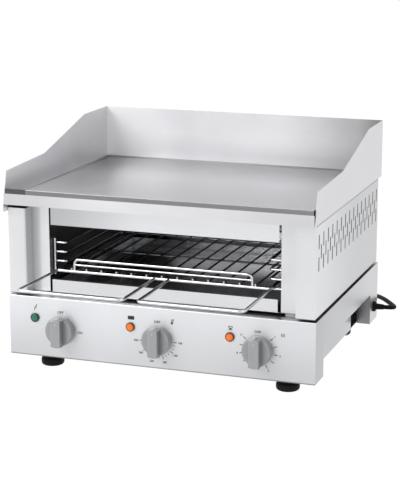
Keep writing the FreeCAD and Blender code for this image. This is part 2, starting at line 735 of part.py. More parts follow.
def grease_tray():
    left = "hood_sheet + tray_play - pan_half"
    width = "plate_left - tray_play - (%s)" % left
    start = "hood_sheet - hood_front + tray_play"
    depth = "plate_depth - 2 * hood_sheet"
    low = "pan_top + clearance"
    right = left + " + " + width
    tab = "fascia_height + plate_thickness - hood_sheet - clearance"

    def piece(name, x, across, y, along, tall):
        return box("grease_tray_" + name, (across, along, tall), (x, "front + " + y, low))

    rear = start + " + " + depth + " - tray_sheet"
    finish(fuse("grease_tray", [
        piece("floor", left, width, start, depth, "tray_sheet"),
        piece("tab", left, width, start, "tray_sheet", tab),
        piece("left", left, "tray_sheet", start, depth, "tray_lip"),
        piece("right", right + " - tray_sheet", "tray_sheet", start, depth, "tray_lip"),
        piece("rear", left, width, rear, "tray_sheet", "tray_lip"),
    ]), "grease_tray")


def griddle_element(label, first_run):
    """Heating tube that lies to and fro under the plate, in the plate's own frame."""
    level = -size("clearance") - size("griddle_tube") / 2
    left = size("griddle_inset")
    right = size("plate_width") - size("griddle_inset")
    pitch = size("griddle_pitch")
    points = []
    for run in range(count("griddle_runs")):
        y = size("griddle_first") + (first_run + run) * pitch
        ends = (left, right) if run % 2 == 0 else (right, left)
        points += [Vector(x, y, level) for x in ends]
    path, radii = bent_path(points, bend=0.49 * pitch)
    item = feature(label, tube(path, size("griddle_tube")))
    tilt(item)
    finish(item, label)


def element_clamps():
    drop = size("griddle_tube") + 2 * size("clearance")
    pitch = size("griddle_pitch")
    runs = 2 * count("griddle_runs")
    first = size("griddle_first")
    length = (runs - 1) * pitch + 2 * size("clamp_width")
    clamps = []
    for place in spread(3, size("clamp_pitch")):
        middle = size("plate_width") / 2 + place
        corner = Vector(middle - size("clamp_width") / 2, first - size("clamp_width"),
                        -drop - size("clamp_sheet"))
        strip = Part.makeBox(size("clamp_width"), length, size("clamp_sheet"), corner)
        studs = [Part.makeCylinder(size("clamp_stud") / 2, drop, Vector(middle, first + gap * pitch, -drop))
                 for gap in (0.5, runs - 1.5)]
        clamps.append(strip.fuse(studs).removeSplitter())
    item = feature("element_clamps", Part.makeCompound(clamps))
    tilt(item)
    finish(item, "element_clamps")


# Toasting chamber

def toast_element(label, number):
    level = size("case_bottom") + size("toast_level")
    gap = size("toast_hairpin") / 2
    x = number * size("toast_pitch")
    near = size("front") + size("toast_front")
    far = size("front") + size("liner_back") + size("case_sheet") + size("toast_tail")
    points = [Vector(x - gap, far, level), Vector(x - gap, near, level),
              Vector(x + gap, near, level), Vector(x + gap, far, level)]
    path, radii = bent_path(points, bend=0.99 * gap)
    finish(feature(label, tube(path, size("toast_tube"))), label)


def element_guard():
    """Wire grid under the hairpins, held between the side walls, that also carries them."""
    level = (size("case_bottom") + size("toast_level") - size("toast_tube") / 2 - size("clearance")
             - size("mesh_bar") / 2)
    near = size("front") + size("mesh_front")
    far = near + size("mesh_length")
    reach = size("mouth")
    solids = [straight(Vector(-reach, y, level), Vector(reach, y, level), size("mesh_bar"))
              for y in (near, (near + far) / 2, far)]
    below = level - size("mesh_bar") / 2
    for x in spread(count("mesh_count"), size("mesh_pitch")):
        solids.append(straight(Vector(x, near - 3, below), Vector(x, far + 3, below), size("mesh_wire")))
    finish(feature("element_guard", solids[0].fuse(solids[1:])), "element_guard")


def rack_guide(name, side):
    """Wire ladder on a side wall: two uprights and one long rail for each level."""
    wire = size("guide_wire")
    post = size("guide_post")
    outer = size("mouth") - post / 2 - size("seam") / 3
    inner = size("rack_rail") - size("guide_over")
    near = size("front") + size("guide_front")
    far = near + size("guide_length")
    lowest = size("rack_z") - size("rack_rod") / 2 - size("clearance") - wire / 2
    levels = [lowest + step * size("guide_pitch") for step in range(count("guide_levels"))]
    tail = size("guide_tail")
    solids = [straight(Vector(side * outer, y, levels[0] - tail), Vector(side * outer, y, levels[-1] + tail),
                       post) for y in (near, far)]
    for level in levels:
        points = [Vector(side * outer, near, level), Vector(side * inner, near, level),
                  Vector(side * inner, far, level), Vector(side * outer, far, level)]
        path, radii = bent_path(points, bend=size("guide_bend"))
        solids.append(tube(path, wire))
    finish(feature("rack_guide_" + name, solids[0].fuse(solids[1:])), "rack_guide_" + name)


def toast_rack():
    level = size("rack_z")
    frame_rod = size("rack_rod")
    near = size("front") + size("rack_front")
    far = near + size("rack_depth")
    reach = size("rack_reach")
    rail = size("rack_rail")
    solids = [straight(Vector(-reach, near, level), Vector(reach, near, level), frame_rod),
              straight(Vector(-rail, far, level), Vector(rail, far, level), frame_rod)]
    solids += [straight(Vector(side * rail, near, level), Vector(side * rail, far, level), frame_rod)
               for name, side in SIDES]
    solids += [Part.makeSphere(frame_rod / 2, Vector(side * rail, far, level)) for name, side in SIDES]
    cross = near + size("rack_cross")
    solids.append(straight(Vector(-rail, cross, level), Vector(rail, cross, level), size("rack_wire")))
    over = level + frame_rod / 2
    for x in spread(count("rack_wires"), size("rack_pitch")):
        solids.append(straight(Vector(x, near, over), Vector(x, far, over), size("rack_wire")))
        stub = Vector(x, near, over + size("rack_stub"))
        solids.append(straight(Vector(x, near, level), stub, size("rack_wire")))
        solids.append(straight(Vector(x, cross, level), Vector(x, cross, over), size("rack_wire")))
    finish(feature("toast_rack", solids[0].fuse(solids[1:])), "toast_rack")


def rack_handle(name, side):
    """Wire loop that stands out in front of the rack as a handle."""
    level = size("rack_z")
    root = size("front") + size("rack_front") - size("rack_rod") / 2
    tip = size("front") - size("handle_reach")
    corner = size("handle_outer") + (size("handle_splay") if side < 0 else 0)
    points = [Vector(side * size("handle_outer"), root, level), Vector(side * corner, tip, level),
              Vector(side * size("handle_inner"), tip, level), Vector(side * size("handle_inner"), root, level)]
    path, radii = bent_path(points, bend=size("handle_bend"))
    finish(feature("rack_handle_" + name, tube(path, size("handle_rod"))), "rack_handle_" + name)


def rack_stop_rail():
    """Upright rail over the front bar, which keeps toast on the rack."""
    foot_z = size("rack_z") + size("rack_rod") / 2
    top = size("rack_z") + size("stop_height")
    y = size("front") + size("rack_front")
    reach = size("stop_reach")
    points = [Vector(-reach, y, foot_z), Vector(-reach, y, top), Vector(reach, y, top), Vector(reach, y, foot_z)]
    path, radii = bent_path(points, bend=size("stop_bend"))
    middle = (foot_z + top) / 2
    wire = straight(Vector(-reach, y, middle), Vector(reach, y, middle), size("stop_wire"))
    finish(feature("rack_stop_rail", tube(path, size("stop_rod")).fuse(wire)), "rack_stop_rail")


def crumb_tray():
    low = "case_floor + clearance"
    wall = ("crumb_front", "crumb_depth")
    floor = bar("crumb_tray_floor", "crumb_half", wall, (low, "crumb_sheet"))
    face = bar("crumb_tray_face", "crumb_half", ("crumb_front", "crumb_sheet"), (low, "crumb_height"))
    lip = bar("crumb_tray_lip", "crumb_half", ("crumb_front", "crumb_lip"),
              (low + " + crumb_height - crumb_sheet", "crumb_sheet"))
    rear = bar("crumb_tray_rear", "crumb_half", ("crumb_front + crumb_depth - crumb_sheet", "crumb_sheet"),
               (low, "crumb_wall"))
    walls = [side_box("crumb_tray_wall_" + name, side, "crumb_half - crumb_sheet", "crumb_sheet", wall,
                      (low, "crumb_wall")) for name, side in SIDES]
    finish(fuse("crumb_tray", [floor, face, lip, rear] + walls), "crumb_tray")


# Controls

def rounded_face(label, base, y, radius):
    """Object with every edge of its front face rounded."""
    doc.recompute()
    item = doc.addObject("Part::Fillet", label)
    item.Base = base
    item.Edges = [(number, size(radius), size(radius)) for number, edge in enumerate(base.Shape.Edges, start=1)
                  if edge.BoundBox.YMax < y + 0.01]
    return item


def knob(label, x):
    disc = rod(label + "_disc", "knob_dia / 2", "knob_skirt - knob_gap",
               (x, "front - knob_skirt", "knob_z"), ALONG_Y)
    blank = rod(label + "_blank", "knob_dia / 2 - knob_rim", "knob_depth - knob_gap",
                (x, "front - knob_depth", "knob_z"), ALONG_Y)
    strip = box(label + "_strip", ("knob_grip", "knob_depth - knob_gap", "knob_dia"),
                (x + " - knob_grip / 2", "front - knob_depth", "knob_z - knob_dia / 2"))
    grip = doc.addObject("Part::MultiCommon", label + "_grip")
    grip.Shapes = [blank, strip]
    bore = rod(label + "_bore", "shaft_dia / 2 + shaft_play", "knob_bore",
               (x, "front - knob_gap - knob_bore", "knob_z"), ALONG_Y)
    solid = fuse(label + "_solid", [
        rounded_face(label + "_disc_rounded", disc, size("front") - size("knob_skirt"), "knob_disc_round"),
        rounded_face(label + "_grip_rounded", grip, size("front") - size("knob_depth"), "knob_grip_round")])
    finish(cut(label, solid, [bore]), label)


def shaft(label, x):
    finish(rod(label, "shaft_dia / 2", "shaft_reach + shaft_tail", (x, "front - shaft_reach", "knob_z"),
               ALONG_Y), label)


def control(label, x, width, height, depth):
    """Switch, thermostat or timer behind the panel, with its bush in the panel."""
    housing = box(label + "_housing", (width, depth, height),
                  ("%s - %s / 2" % (x, width), "front + panel_sheet", "knob_z - %s / 2" % height))
    bush = rod(label + "_bush", "bush_dia / 2", "2 * panel_sheet", (x, "front", "knob_z"), ALONG_Y)
    bore = rod(label + "_bore", "shaft_dia / 2 + shaft_play", "shaft_tail + clearance",
               (x, "front", "knob_z"), ALONG_Y)
    finish(cut(label, fuse(label + "_solid", [housing, bush]), [bore]), label)


def turned(profile, at, along):
    """Solid of revolution from (distance along, radius) pairs, started at a place."""
    side = Rotation(ALONG_Z, along)
    outline = Part.makePolygon([side.multVec(Vector(radius, 0, run)) + at for run, radius in profile])
    return Part.Face(outline).revolve(at, along, 360)


def lamp_middle(x):
    """Place on the panel's front face where a lamp stands."""
    knob_x = {"-knob_pitch": -1, "0": 0, "knob_pitch": 1}[x] * size("knob_pitch")
    return Vector(knob_x - size("lamp_offset"), size("front"), size("lamp_z"))


def lamp_lens(label, x):
    radius = size("lamp_lens") / 2
    dome = size("lamp_dome")
    stem = size("lamp_stem") / 2
    steps = 8
    crown = 0.35 * dome
    curve = [(-(dome - crown) - crown * math.cos(math.pi / 2 * step / steps),
              radius * math.sin(math.pi / 2 * step / steps)) for step in range(steps + 1)]
    profile = curve + [(0, radius), (0, stem), (size("lamp_stem_length"), stem),
                       (size("lamp_stem_length"), 0), (-dome, 0)]
    finish(feature(label, turned(profile, lamp_middle(x), ALONG_Y)), label)


def lamp_rings():
    rings = []
    depth = size("lamp_ring_depth")
    for name, x in KNOBS:
        start = lamp_middle(x) - ALONG_Y * depth
        ring = Part.makeCylinder(size("lamp_ring") / 2, depth, start, ALONG_Y)
        rings.append(ring.cut(Part.makeCylinder(size("lamp_lens") / 2 + size("seam") / 3, depth, start, ALONG_Y)))
    finish(feature("lamp_rings", Part.makeCompound(rings)), "lamp_rings")


# Electrical parts

def terminal_block():
    x = "recess_x - block_inset - block_length / 2"
    y = "front + base_depth - block_inset"
    low = "foot_height + panel_sheet"
    block = box("terminal_block_body", ("block_length", "block_width", "block_height"), (x, y, low))
    wells = [rod("terminal_block_well_%d" % number, "block_width / 6", "block_height / 2",
                 ("%s + block_length * %g" % (x, (number + 0.5) / 4), y + " + block_width / 2",
                  low + " + block_height / 2"), ALONG_Z) for number in range(4)]
    finish(cut("terminal_block", block, wells), "terminal_block")


def rear_screws():
    """Pan-head screws of both rear panels."""
    head = size("screw_head_dia") / 2
    tall = size("screw_head_height")
    shank = size("screw_dia") / 2
    profile = [(-size("screw_length"), 0), (-size("screw_length"), shank), (0, shank), (0, head),
               (0.45 * tall, head), (0.85 * tall, 0.72 * head), (tall, 0.4 * head), (tall, 0)]
    profile.append(profile[0])
    screws = []
    panels = [("half", "base_height", "base_depth", "foot_height"),
              ("case_half", None, "case_depth", "case_floor")]
    for half_name, height_name, depth_name, bottom_name in panels:
        height = size(height_name) if height_name else size("case_top") - size("case_floor")
        reach = size(half_name) - size("screw_inset")
        y = size("front") + size(depth_name)
        for x in (-reach, reach):
            for z in (size("screw_inset"), height - size("screw_inset")):
                screws.append(turned(profile, Vector(x, y, size(bottom_name) + z), ALONG_Y))
    finish(feature("rear_screws", Part.makeCompound(screws)), "rear_screws")


def gland_mouth():
    """Place on the base's right side where the cord leaves."""
    return Vector(size("half"), size("front") + size("gland_back"), size("foot_height") + size("gland_height"))


def cable_gland():
    body = size("gland_body_dia") / 2
    flange = size("gland_flange_dia") / 2
    thick = size("gland_flange")
    tip = thick + size("gland_sleeve")
    profile = [(-size("gland_body"), 0), (-size("gland_body"), body), (0, body), (0, flange),
               (0.75 * thick, flange), (thick, 0.85 * flange), (thick, size("gland_root_dia") / 2),
               (tip, size("gland_tip_dia") / 2), (tip, 0)]
    profile.append(profile[0])
    finish(feature("cable_gland", turned(profile, gland_mouth(), ALONG_X)), "cable_gland")


# Cord: points from the gland's mouth, to the right, to the back and up
CORD_ROUTE = [(26.5, 0, 0), (34.2, 6.4, -1), (35.9, 16.3, -2.7), (26.5, 31.5, -2.8),
              (7, 60, -2), (-19, 100, -7), (-46, 135, -21.5), (-75, 156, -40)]


def coil_point(turn):
    """Place on the coil's middle line after a number of turns.

    The cord winds inwards in the lower layer and outwards in the upper one, and climbs in the
    half turn where the spiral reverses.
    """
    turns = size("coil_turns")
    half_climb = 0.25
    middle = turns / 2
    before = turn if turn <= middle else turns - turn
    start = middle - half_climb
    if before <= start:
        inward = before
        rise = 0
    else:
        share = (before - start) / half_climb
        inward = start + half_climb * (share - share * share / 2)
        rise = (1 - math.cos(math.pi / 2 * share)) / 2
    if turn > middle:
        rise = 1 - rise
    radius = size("coil_radius") - size("coil_pitch") * inward
    angle = math.pi / 2 + 2 * math.pi * turn
    return Vector(size("coil_x") + radius * math.cos(angle),
                  size("front") + size("coil_back") + radius * math.sin(angle),
                  size("cord_dia") / 2 + rise * size("coil_pitch"))


def coil_heading(turn):
    """Direction of the cord after a number of turns of the coil."""
    step = 1e-4
    return (coil_point(turn + step) - coil_point(turn - step)).normalize()


def biarc(start, heading, end, leaving):
    """Two arcs that join two places with a direction at each."""
    chord = end - start
    both = heading + leaving
    spare = 1 - heading.dot(leaving)
    along = chord.dot(both)
    reach = (math.sqrt(along * along + 2 * spare * chord.dot(chord)) - along) / (2 * spare)
    first_corner = start + heading * reach
    last_corner = end - leaving * reach
    joint = (first_corner + last_corner) * 0.5
    return [round_corner(start, first_corner, joint), round_corner(joint, last_corner, end)]


def round_corner(start, corner, end):
    """Arc that touches two equal legs at their ends."""
    middle = (start + end) * 0.5
    rise = (corner - middle).Length
    half_chord = (end - start).Length / 2
    radius = half_chord * (corner - start).Length / rise
    sag = radius - math.sqrt(radius * radius - half_chord * half_chord)
    return Part.Arc(start, middle + (corner - middle) * (sag / rise), end).toShape()


def cord_lead():
    """Free stretch from the gland down to the table and up to the coil."""
    thickness = size("cord_dia")
    arrival = coil_point(0) - coil_heading(0) * thickness
    tip = gland_mouth() + ALONG_X * (size("gland_flange") + size("gland_sleeve"))
    points = [tip] + [gland_mouth() + Vector(*point) for point in CORD_ROUTE]
    points += [arrival - coil_heading(0) * 3 * thickness, arrival]
    path, radii = bent_path(points)
    print("cord lead", round(path.Length), "mm, radii", [round(radius, 1) for radius in radii])
    solid = tube(path, thickness)
    expected = math.pi * thickness ** 2 / 4 * path.Length
    print("cord lead volume against section times length", round(solid.Volume / expected, 4))
    finish(feature("cord_lead", solid), "cord_lead")


def cord_coil():
    """Coil of the spare length and the short run to the plug, as one unbroken tube."""
    thickness = size("cord_dia")
    turns = size("coil_turns")
    steps = 4 * count("coil_turns")
    marks = [turns * step / steps for step in range(steps + 1)]
    begin = coil_point(0)
    end = coil_point(turns)
    edges = [Part.LineSegment(begin - coil_heading(0) * thickness, begin).toShape()]
    for here, there in zip(marks, marks[1:]):
        edges += biarc(coil_point(here), coil_heading(here), coil_point(there), coil_heading(there))
    edges.append(Part.LineSegment(end, end + coil_heading(turns) * size("tail_length")).toShape())
    path = Part.Wire(edges)
    print("cord coil", round(path.Length), "mm, least gap to itself", round(least_gap(path, thickness), 2), "mm")
    finish(feature("cord_coil", tube(path, thickness)), "cord_coil")


def least_gap(path, thickness):
    """Least gap between turns, measured on points along the middle line."""
    points = path.discretize(Distance=3)
    spacing = path.Length / (len(points) - 1)
    skip = int(8 * thickness / spacing)
    return min((points[first] - points[second]).Length - thickness
               for first in range(len(points)) for second in range(first + skip, len(points)))


def plug():
    """Moulded plug with two round pins, lying on the table at the end of the cord."""
    turns = size("coil_turns")
    heading = coil_heading(turns)
    start = coil_point(turns) + heading * size("tail_length")
    neck = size("plug_neck")
    length = size("plug_length")
    profile = [(0, 0), (0, size("cord_dia") / 2 + 0.8), (neck, size("plug_neck_dia") / 2),
               (neck, 0)]
    profile.append(profile[0])
    solid = turned(profile, start, heading)
    half_width = size("plug_width") / 2
    half_height = start.z
    side = heading.cross(ALONG_Z).normalize()

    def section(run, share):
        middle = start + heading * run
        corners = []
        for across, up in ((-1, -1), (1, -1), (1, 1), (-1, 1)):
            corners.append(middle + side * (across * half_width * share) + ALONG_Z * (up * half_height * share))
        return Part.makePolygon(corners + corners[:1])

    shell = Part.makeLoft([section(neck - 2, 0.55), section(neck + 10, 1), section(neck + length, 1)], True, True)
    pins = [Part.makeCylinder(size("pin_dia") / 2, size("pin_length") + 4,
                              start + heading * (neck + length - 4) + side * (place * size("pin_spacing") / 2),
                              heading) for place in (-1, 1)]
    finish(feature("plug", solid.fuse([shell] + pins).removeSplitter()), "plug")


def build():
    control_panel()
    for name, side in SIDES:
        base_side(name, side)
    base_floor()
    base_deck()
    base_rear_panel()
    for name, side in SIDES:
        x = "half - foot_inset_side" if side > 0 else "foot_inset_side - half"
        foot("foot_front_" + name, x, "front + foot_inset_front")
        foot("foot_rear_" + name, x, "front + base_depth - foot_inset_front")
    case_spacers()
    chamber_liner()
    for name, side in SIDES:
        case_post(name, side)
        case_side(name, side)
    case_rear_panel()
    chamber_rear_wall()
    heat_reflector()
    header_panel()
    hood_pan()
    hood_fascia()
    for name, side in SIDES:
        splash_guard_side(name, side)
    splash_guard_rear()
    griddle_plate()
    grease_tray()
    griddle_element("griddle_element_front", 0)
    griddle_element("griddle_element_rear", count("griddle_runs"))
    element_clamps()
    for name, number in (("left", -1), ("centre", 0), ("right", 1)):
        toast_element("toast_element_" + name, number)
    element_guard()
    for name, side in SIDES:
        rack_guide(name, side)
        rack_handle(name, side)
    toast_rack()
    rack_stop_rail()
    crumb_tray()
    for name, x in KNOBS:
        knob(name + "_knob", x)
        shaft(name + "_shaft", x)
        lamp_lens(name + "_lamp", x)
    control("power_switch", "-knob_pitch", "switch_width", "switch_height", "switch_depth")
    control("griddle_thermostat", "0", "thermostat_width", "thermostat_height", "thermostat_depth")
    control("toast_timer", "knob_pitch", "timer_width", "timer_height", "timer_depth")
    lamp_rings()
    terminal_block()
    rear_screws()
    cable_gland()
    cord_lead()
    cord_coil()
    plug()


def check():
    """Stop when an object failed or a sub-part has no sound shape."""
    failed = [item.Name for item in doc.Objects if {"Invalid", "Error"} & set(item.State)]
    if failed:
        raise RuntimeError("not built: " + ", ".join(failed))
    unsound = [item.Label for item in PARTS
               if item.Shape.isNull() or not item.Shape.isValid() or not item.Shape.Solids]
    if unsound:
        raise RuntimeError("no sound shape: " + ", ".join(unsound))


def write():
    os.makedirs("parts", exist_ok=True)
    for item in PARTS:
        item.Shape.exportStep("parts/%s.step" % item.Label)
    whole = Part.makeCompound([item.Shape for item in PARTS]).BoundBox
    print(len(PARTS), "sub-parts, box", [round(value, 1) for value in
          (whole.XMin, whole.XMax, whole.YMin, whole.YMax, whole.ZMin, whole.ZMax)])


build()
doc.recompute()
check()
write()
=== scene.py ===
"""Looks of a countertop griddle toaster: brushed steel, grey control knobs, pilot lamps and its supply cord."""

from __future__ import annotations

import logging
import math
from dataclasses import dataclass
from enum import Enum
from typing import Iterable, Sequence

import bmesh
import bpy
from mathutils import Matrix, Vector

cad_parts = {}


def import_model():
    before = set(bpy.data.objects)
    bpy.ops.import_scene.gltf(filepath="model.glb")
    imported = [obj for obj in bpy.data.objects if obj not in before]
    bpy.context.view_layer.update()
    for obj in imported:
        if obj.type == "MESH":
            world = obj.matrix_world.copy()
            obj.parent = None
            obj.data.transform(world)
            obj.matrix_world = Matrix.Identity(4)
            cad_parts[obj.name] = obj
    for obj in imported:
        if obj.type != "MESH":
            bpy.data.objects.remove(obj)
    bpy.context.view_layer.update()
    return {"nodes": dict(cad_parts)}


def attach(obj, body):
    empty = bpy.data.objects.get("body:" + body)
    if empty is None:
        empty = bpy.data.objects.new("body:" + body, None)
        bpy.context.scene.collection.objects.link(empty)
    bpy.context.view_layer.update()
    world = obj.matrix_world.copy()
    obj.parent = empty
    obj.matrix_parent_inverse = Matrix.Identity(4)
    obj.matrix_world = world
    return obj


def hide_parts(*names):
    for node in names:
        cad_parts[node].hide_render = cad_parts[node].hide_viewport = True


LOG = logging.getLogger("griddle_toaster")

Point = tuple[float, float, float]
Colour = tuple[float, float, float]

FRONT = -0.15275
FOOT = 0.026
CASE_TOP = 0.284
GRIP_FRONT = FRONT - 0.027
KNOB_PLACES = {"power_knob": -0.171, "griddle_knob": 0.0, "toast_knob": 0.171}
KNOB_HEIGHT = FOOT + 0.0485

GRAIN_SPREAD = 0.12
GRAIN_DEPTH = 0.0004
HAZE_SIZE = 6.0
HAZE_ROUGHNESS = 0.04
SKIN_SPREAD = 0.08
SKIN_DEPTH = 0.0002
PRISM_DEPTH = 0.0005
CLOUD_RANGE = (0.25, 0.75)


# Nodes of materials


def link(tree: bpy.types.NodeTree, source: bpy.types.NodeSocket, target: bpy.types.NodeSocket) -> None:
    """Join two sockets of a node tree."""
    tree.links.new(source, target)


def add_node(tree: bpy.types.NodeTree, kind: str, **inputs: float) -> bpy.types.Node:
    """Add a node and set some of its inputs by name.

    Args:
        tree: Node tree that gets the node.
        kind: Blender's type name of the node.
        **inputs: Values for inputs, with underscores for the spaces in their names.

    Returns:
        The new node.
    """
    node = tree.nodes.new(kind)
    for name, value in inputs.items():
        node.inputs[name.replace("_", " ")].default_value = value
    return node


def add_group(tree: bpy.types.NodeTree, group: bpy.types.NodeTree, place: bpy.types.NodeSocket,
              **inputs: float) -> bpy.types.Node:
    """Add a node group and set some of its inputs by name.

    Args:
        tree: Node tree that gets the group.
        group: Tree of the group.
        place: Coordinates that it works on.
        **inputs: Values for its number inputs.

    Returns:
        The group's node.
    """
    node = tree.nodes.new("ShaderNodeGroup")
    node.node_tree = group
    link(tree, place, node.inputs["Vector"])
    for name, value in inputs.items():
        node.inputs[name].default_value = value
    return node


def calculate(tree: bpy.types.NodeTree, operation: str, *values: bpy.types.NodeSocket | float,
              clamp: bool = False) -> bpy.types.NodeSocket:
    """Add a math node.

    Args:
        tree: Node tree that gets the node.
        operation: Blender's name of the operation.
        *values: Sockets or plain numbers to work on.
        clamp: Whether the result is kept between 0 and 1.

    Returns:
        Socket with the result.
    """
    node = tree.nodes.new("ShaderNodeMath")
    node.operation = operation
    node.use_clamp = clamp
    for slot, value in zip(node.inputs, values):
        if isinstance(value, bpy.types.NodeSocket):
            link(tree, value, slot)
        else:
            slot.default_value = value
    return node.outputs[0]


def distance(tree: bpy.types.NodeTree, value: bpy.types.NodeSocket, middle: float) -> bpy.types.NodeSocket:
    """Give how far a value is from a number, whichever side it is on.

    Args:
        tree: Node tree that gets the nodes.
        value: Socket with the value.
        middle: The number.

    Returns:
        Socket with the distance.
    """
    return calculate(tree, "ABSOLUTE", calculate(tree, "SUBTRACT", value, middle))


def map_range(tree: bpy.types.NodeTree, value: bpy.types.NodeSocket, source: tuple[float, float],
              target: tuple[float, float], interpolation: str = "LINEAR") -> bpy.types.NodeSocket:
    """Add a node that carries one range of numbers over to another.

    Args:
        tree: Node tree that gets the node.
        value: Socket with the number.
        source: Start and end of the first range.
        target: Start and end of the second range.
        interpolation: Blender's name of the way between them.

    Returns:
        Socket with the result.
    """
    node = tree.nodes.new("ShaderNodeMapRange")
    node.interpolation_type = interpolation
    node.inputs["From Min"].default_value, node.inputs["From Max"].default_value = source
    node.inputs["To Min"].default_value, node.inputs["To Max"].default_value = target
    link(tree, value, node.inputs["Value"])
    return node.outputs["Result"]


def along_axis(tree: bpy.types.NodeTree, vector: bpy.types.NodeSocket, axis: str) -> bpy.types.NodeSocket:
    """Give one component of a vector.

    Args:
        tree: Node tree that gets the node.
        vector: Socket with the vector.
        axis: "X", "Y" or "Z".

    Returns:
        Socket with the component.
    """
    parts = tree.nodes.new("ShaderNodeSeparateXYZ")
    link(tree, vector, parts.inputs["Vector"])
    return parts.outputs[axis]


# Surface effects shared by the finishes


class Grain(Enum):
    """Direction of the fine lines that polishing leaves on a sheet."""

    LEVEL = (1.2, 1.2, 90.0)
    ACROSS = (1.2, 90.0, 90.0)
    ROUND = (18.0, 18.0, 18.0)


class SurfaceEffects:
    """Node groups for the grain, haze and moulded skin that several finishes share."""

    def __init__(self) -> None:
        """Build each group once."""
        self.grain = self._grain()
        self.haze = self._haze()
        self.skin = self._skin()

    @staticmethod
    def _open(name: str, inputs: Sequence[tuple[str, float]], outputs: Sequence[str]) -> bpy.types.NodeTree:
        """Start a node group with a vector input, named number inputs and named number outputs.

        Args:
            name: Name of the group.
            inputs: Name and default of each number input.
            outputs: Name of each number output.

        Returns:
            The group's tree, with its input and output nodes.
        """
        tree = bpy.data.node_groups.new(name, "ShaderNodeTree")
        tree.interface.new_socket("Vector", in_out="INPUT", socket_type="NodeSocketVector")
        for label, value in inputs:
            socket = tree.interface.new_socket(label, in_out="INPUT", socket_type="NodeSocketFloat")
            socket.default_value = value
        for label in outputs:
            tree.interface.new_socket(label, in_out="OUTPUT", socket_type="NodeSocketFloat")
        tree.nodes.new("NodeGroupInput").name = "in"
        tree.nodes.new("NodeGroupOutput").name = "out"
        return tree

    @staticmethod
    def _close(tree: bpy.types.NodeTree, tone: bpy.types.NodeSocket, rough: bpy.types.NodeSocket,
               height: bpy.types.NodeSocket) -> bpy.types.NodeTree:
        """Scale a tone and a roughness by the group's inputs and give them out with the height.

        Args:
            tree: Tree of the group.
            tone: Value about 0.5 that the tone follows.
            rough: Value that the roughness offset follows.
            height: Height.

        Returns:
            The finished tree.
        """
        source, target = tree.nodes["in"], tree.nodes["out"]
        centred = calculate(tree, "SUBTRACT", tone, 0.5)
        link(tree, calculate(tree, "MULTIPLY_ADD", centred, source.outputs["Tone"], 1.0), target.inputs["Tone"])
        link(tree, calculate(tree, "MULTIPLY", rough, source.outputs["Spread"]), target.inputs["Roughness"])
        link(tree, height, target.inputs["Height"])
        return tree

    def _grain(self) -> bpy.types.NodeTree:
        """Fine parallel lines, as a tone about 1, a roughness offset and a height."""
        tree = self._open("brushed_grain", [("Fineness", 10.0), ("Tone", 0.05), ("Spread", GRAIN_SPREAD)],
                          ["Tone", "Roughness", "Height"])
        source = tree.nodes["in"]
        fine = add_node(tree, "ShaderNodeTexNoise", Detail=4.0, Roughness=0.65)
        link(tree, source.outputs["Vector"], fine.inputs["Vector"])
        link(tree, source.outputs["Fineness"], fine.inputs["Scale"])
        lines = fine.outputs["Fac"]
        return self._close(tree, lines, calculate(tree, "SUBTRACT", lines, 0.5), lines)

    def _haze(self) -> bpy.types.NodeTree:
        """Broad soft clouds, such as wiping leaves on steel, as a value from -1 to 1."""
        tree = self._open("wiped_haze", [("Size", HAZE_SIZE)], ["Value"])
        source, target = tree.nodes["in"], tree.nodes["out"]
        cloud = add_node(tree, "ShaderNodeTexNoise", Detail=3.0, Roughness=0.5, Distortion=0.4)
        link(tree, source.outputs["Vector"], cloud.inputs["Vector"])
        link(tree, source.outputs["Size"], cloud.inputs["Scale"])
        spread = map_range(tree, cloud.outputs["Fac"], CLOUD_RANGE, (-1.0, 1.0))
        link(tree, spread, target.inputs["Value"])
        return tree

    def _skin(self) -> bpy.types.NodeTree:
        """Fine pebbled skin of moulded plastic and rubber, as a tone, a roughness offset and a height."""
        tree = self._open("moulded_skin", [("Fineness", 900.0), ("Tone", 0.06), ("Spread", SKIN_SPREAD)],
                          ["Tone", "Roughness", "Height"])
        source = tree.nodes["in"]
        pebble = add_node(tree, "ShaderNodeTexNoise", Detail=2.0, Roughness=0.5)
        link(tree, source.outputs["Vector"], pebble.inputs["Vector"])
        link(tree, source.outputs["Fineness"], pebble.inputs["Scale"])
        broad = add_node(tree, "ShaderNodeTexNoise", Scale=24.0, Detail=2.0)
        link(tree, source.outputs["Vector"], broad.inputs["Vector"])
        return self._close(tree, broad.outputs["Fac"], pebble.outputs["Fac"], pebble.outputs["Fac"])


@dataclass(frozen=True)
class Sheet:
    """Parts of a material that is being put together."""

    tree: bpy.types.NodeTree
    shader: bpy.types.Node
    place: bpy.types.NodeSocket


def start_material(name: str) -> tuple[bpy.types.Material, Sheet]:
    """Make a material with a Principled shader and the object's own coordinates.

    Args:
        name: Name of the material.

    Returns:
        The material and the parts that a finish links up.
    """
    material = bpy.data.materials.new(name)
    material.use_nodes = True
    tree = material.node_tree
    shader = tree.nodes["Principled BSDF"]
    coordinates = tree.nodes.new("ShaderNodeTexCoord")
    return material, Sheet(tree, shader, coordinates.outputs["Object"])


def tinted(sheet: Sheet, colour: Colour, factors: Iterable[bpy.types.NodeSocket]) -> bpy.types.NodeSocket:
    """Feed a colour, darkened and lightened by factors about 1, to the shader.

    Args:
        sheet: Material in the making.
        colour: Colour at a factor of 1.
        factors: Sockets with the factors, one or more.

    Returns:
        Socket with the resulting colour.
    """
    current, *others = factors
    for factor in others:
        current = calculate(sheet.tree, "MULTIPLY", current, factor)
    scale = sheet.tree.nodes.new("ShaderNodeVectorMath")
    scale.operation = "SCALE"
    scale.inputs[0].default_value = colour
    link(sheet.tree, current, scale.inputs["Scale"])
    link(sheet.tree, scale.outputs["Vector"], sheet.shader.inputs["Base Color"])
    return scale.outputs["Vector"]


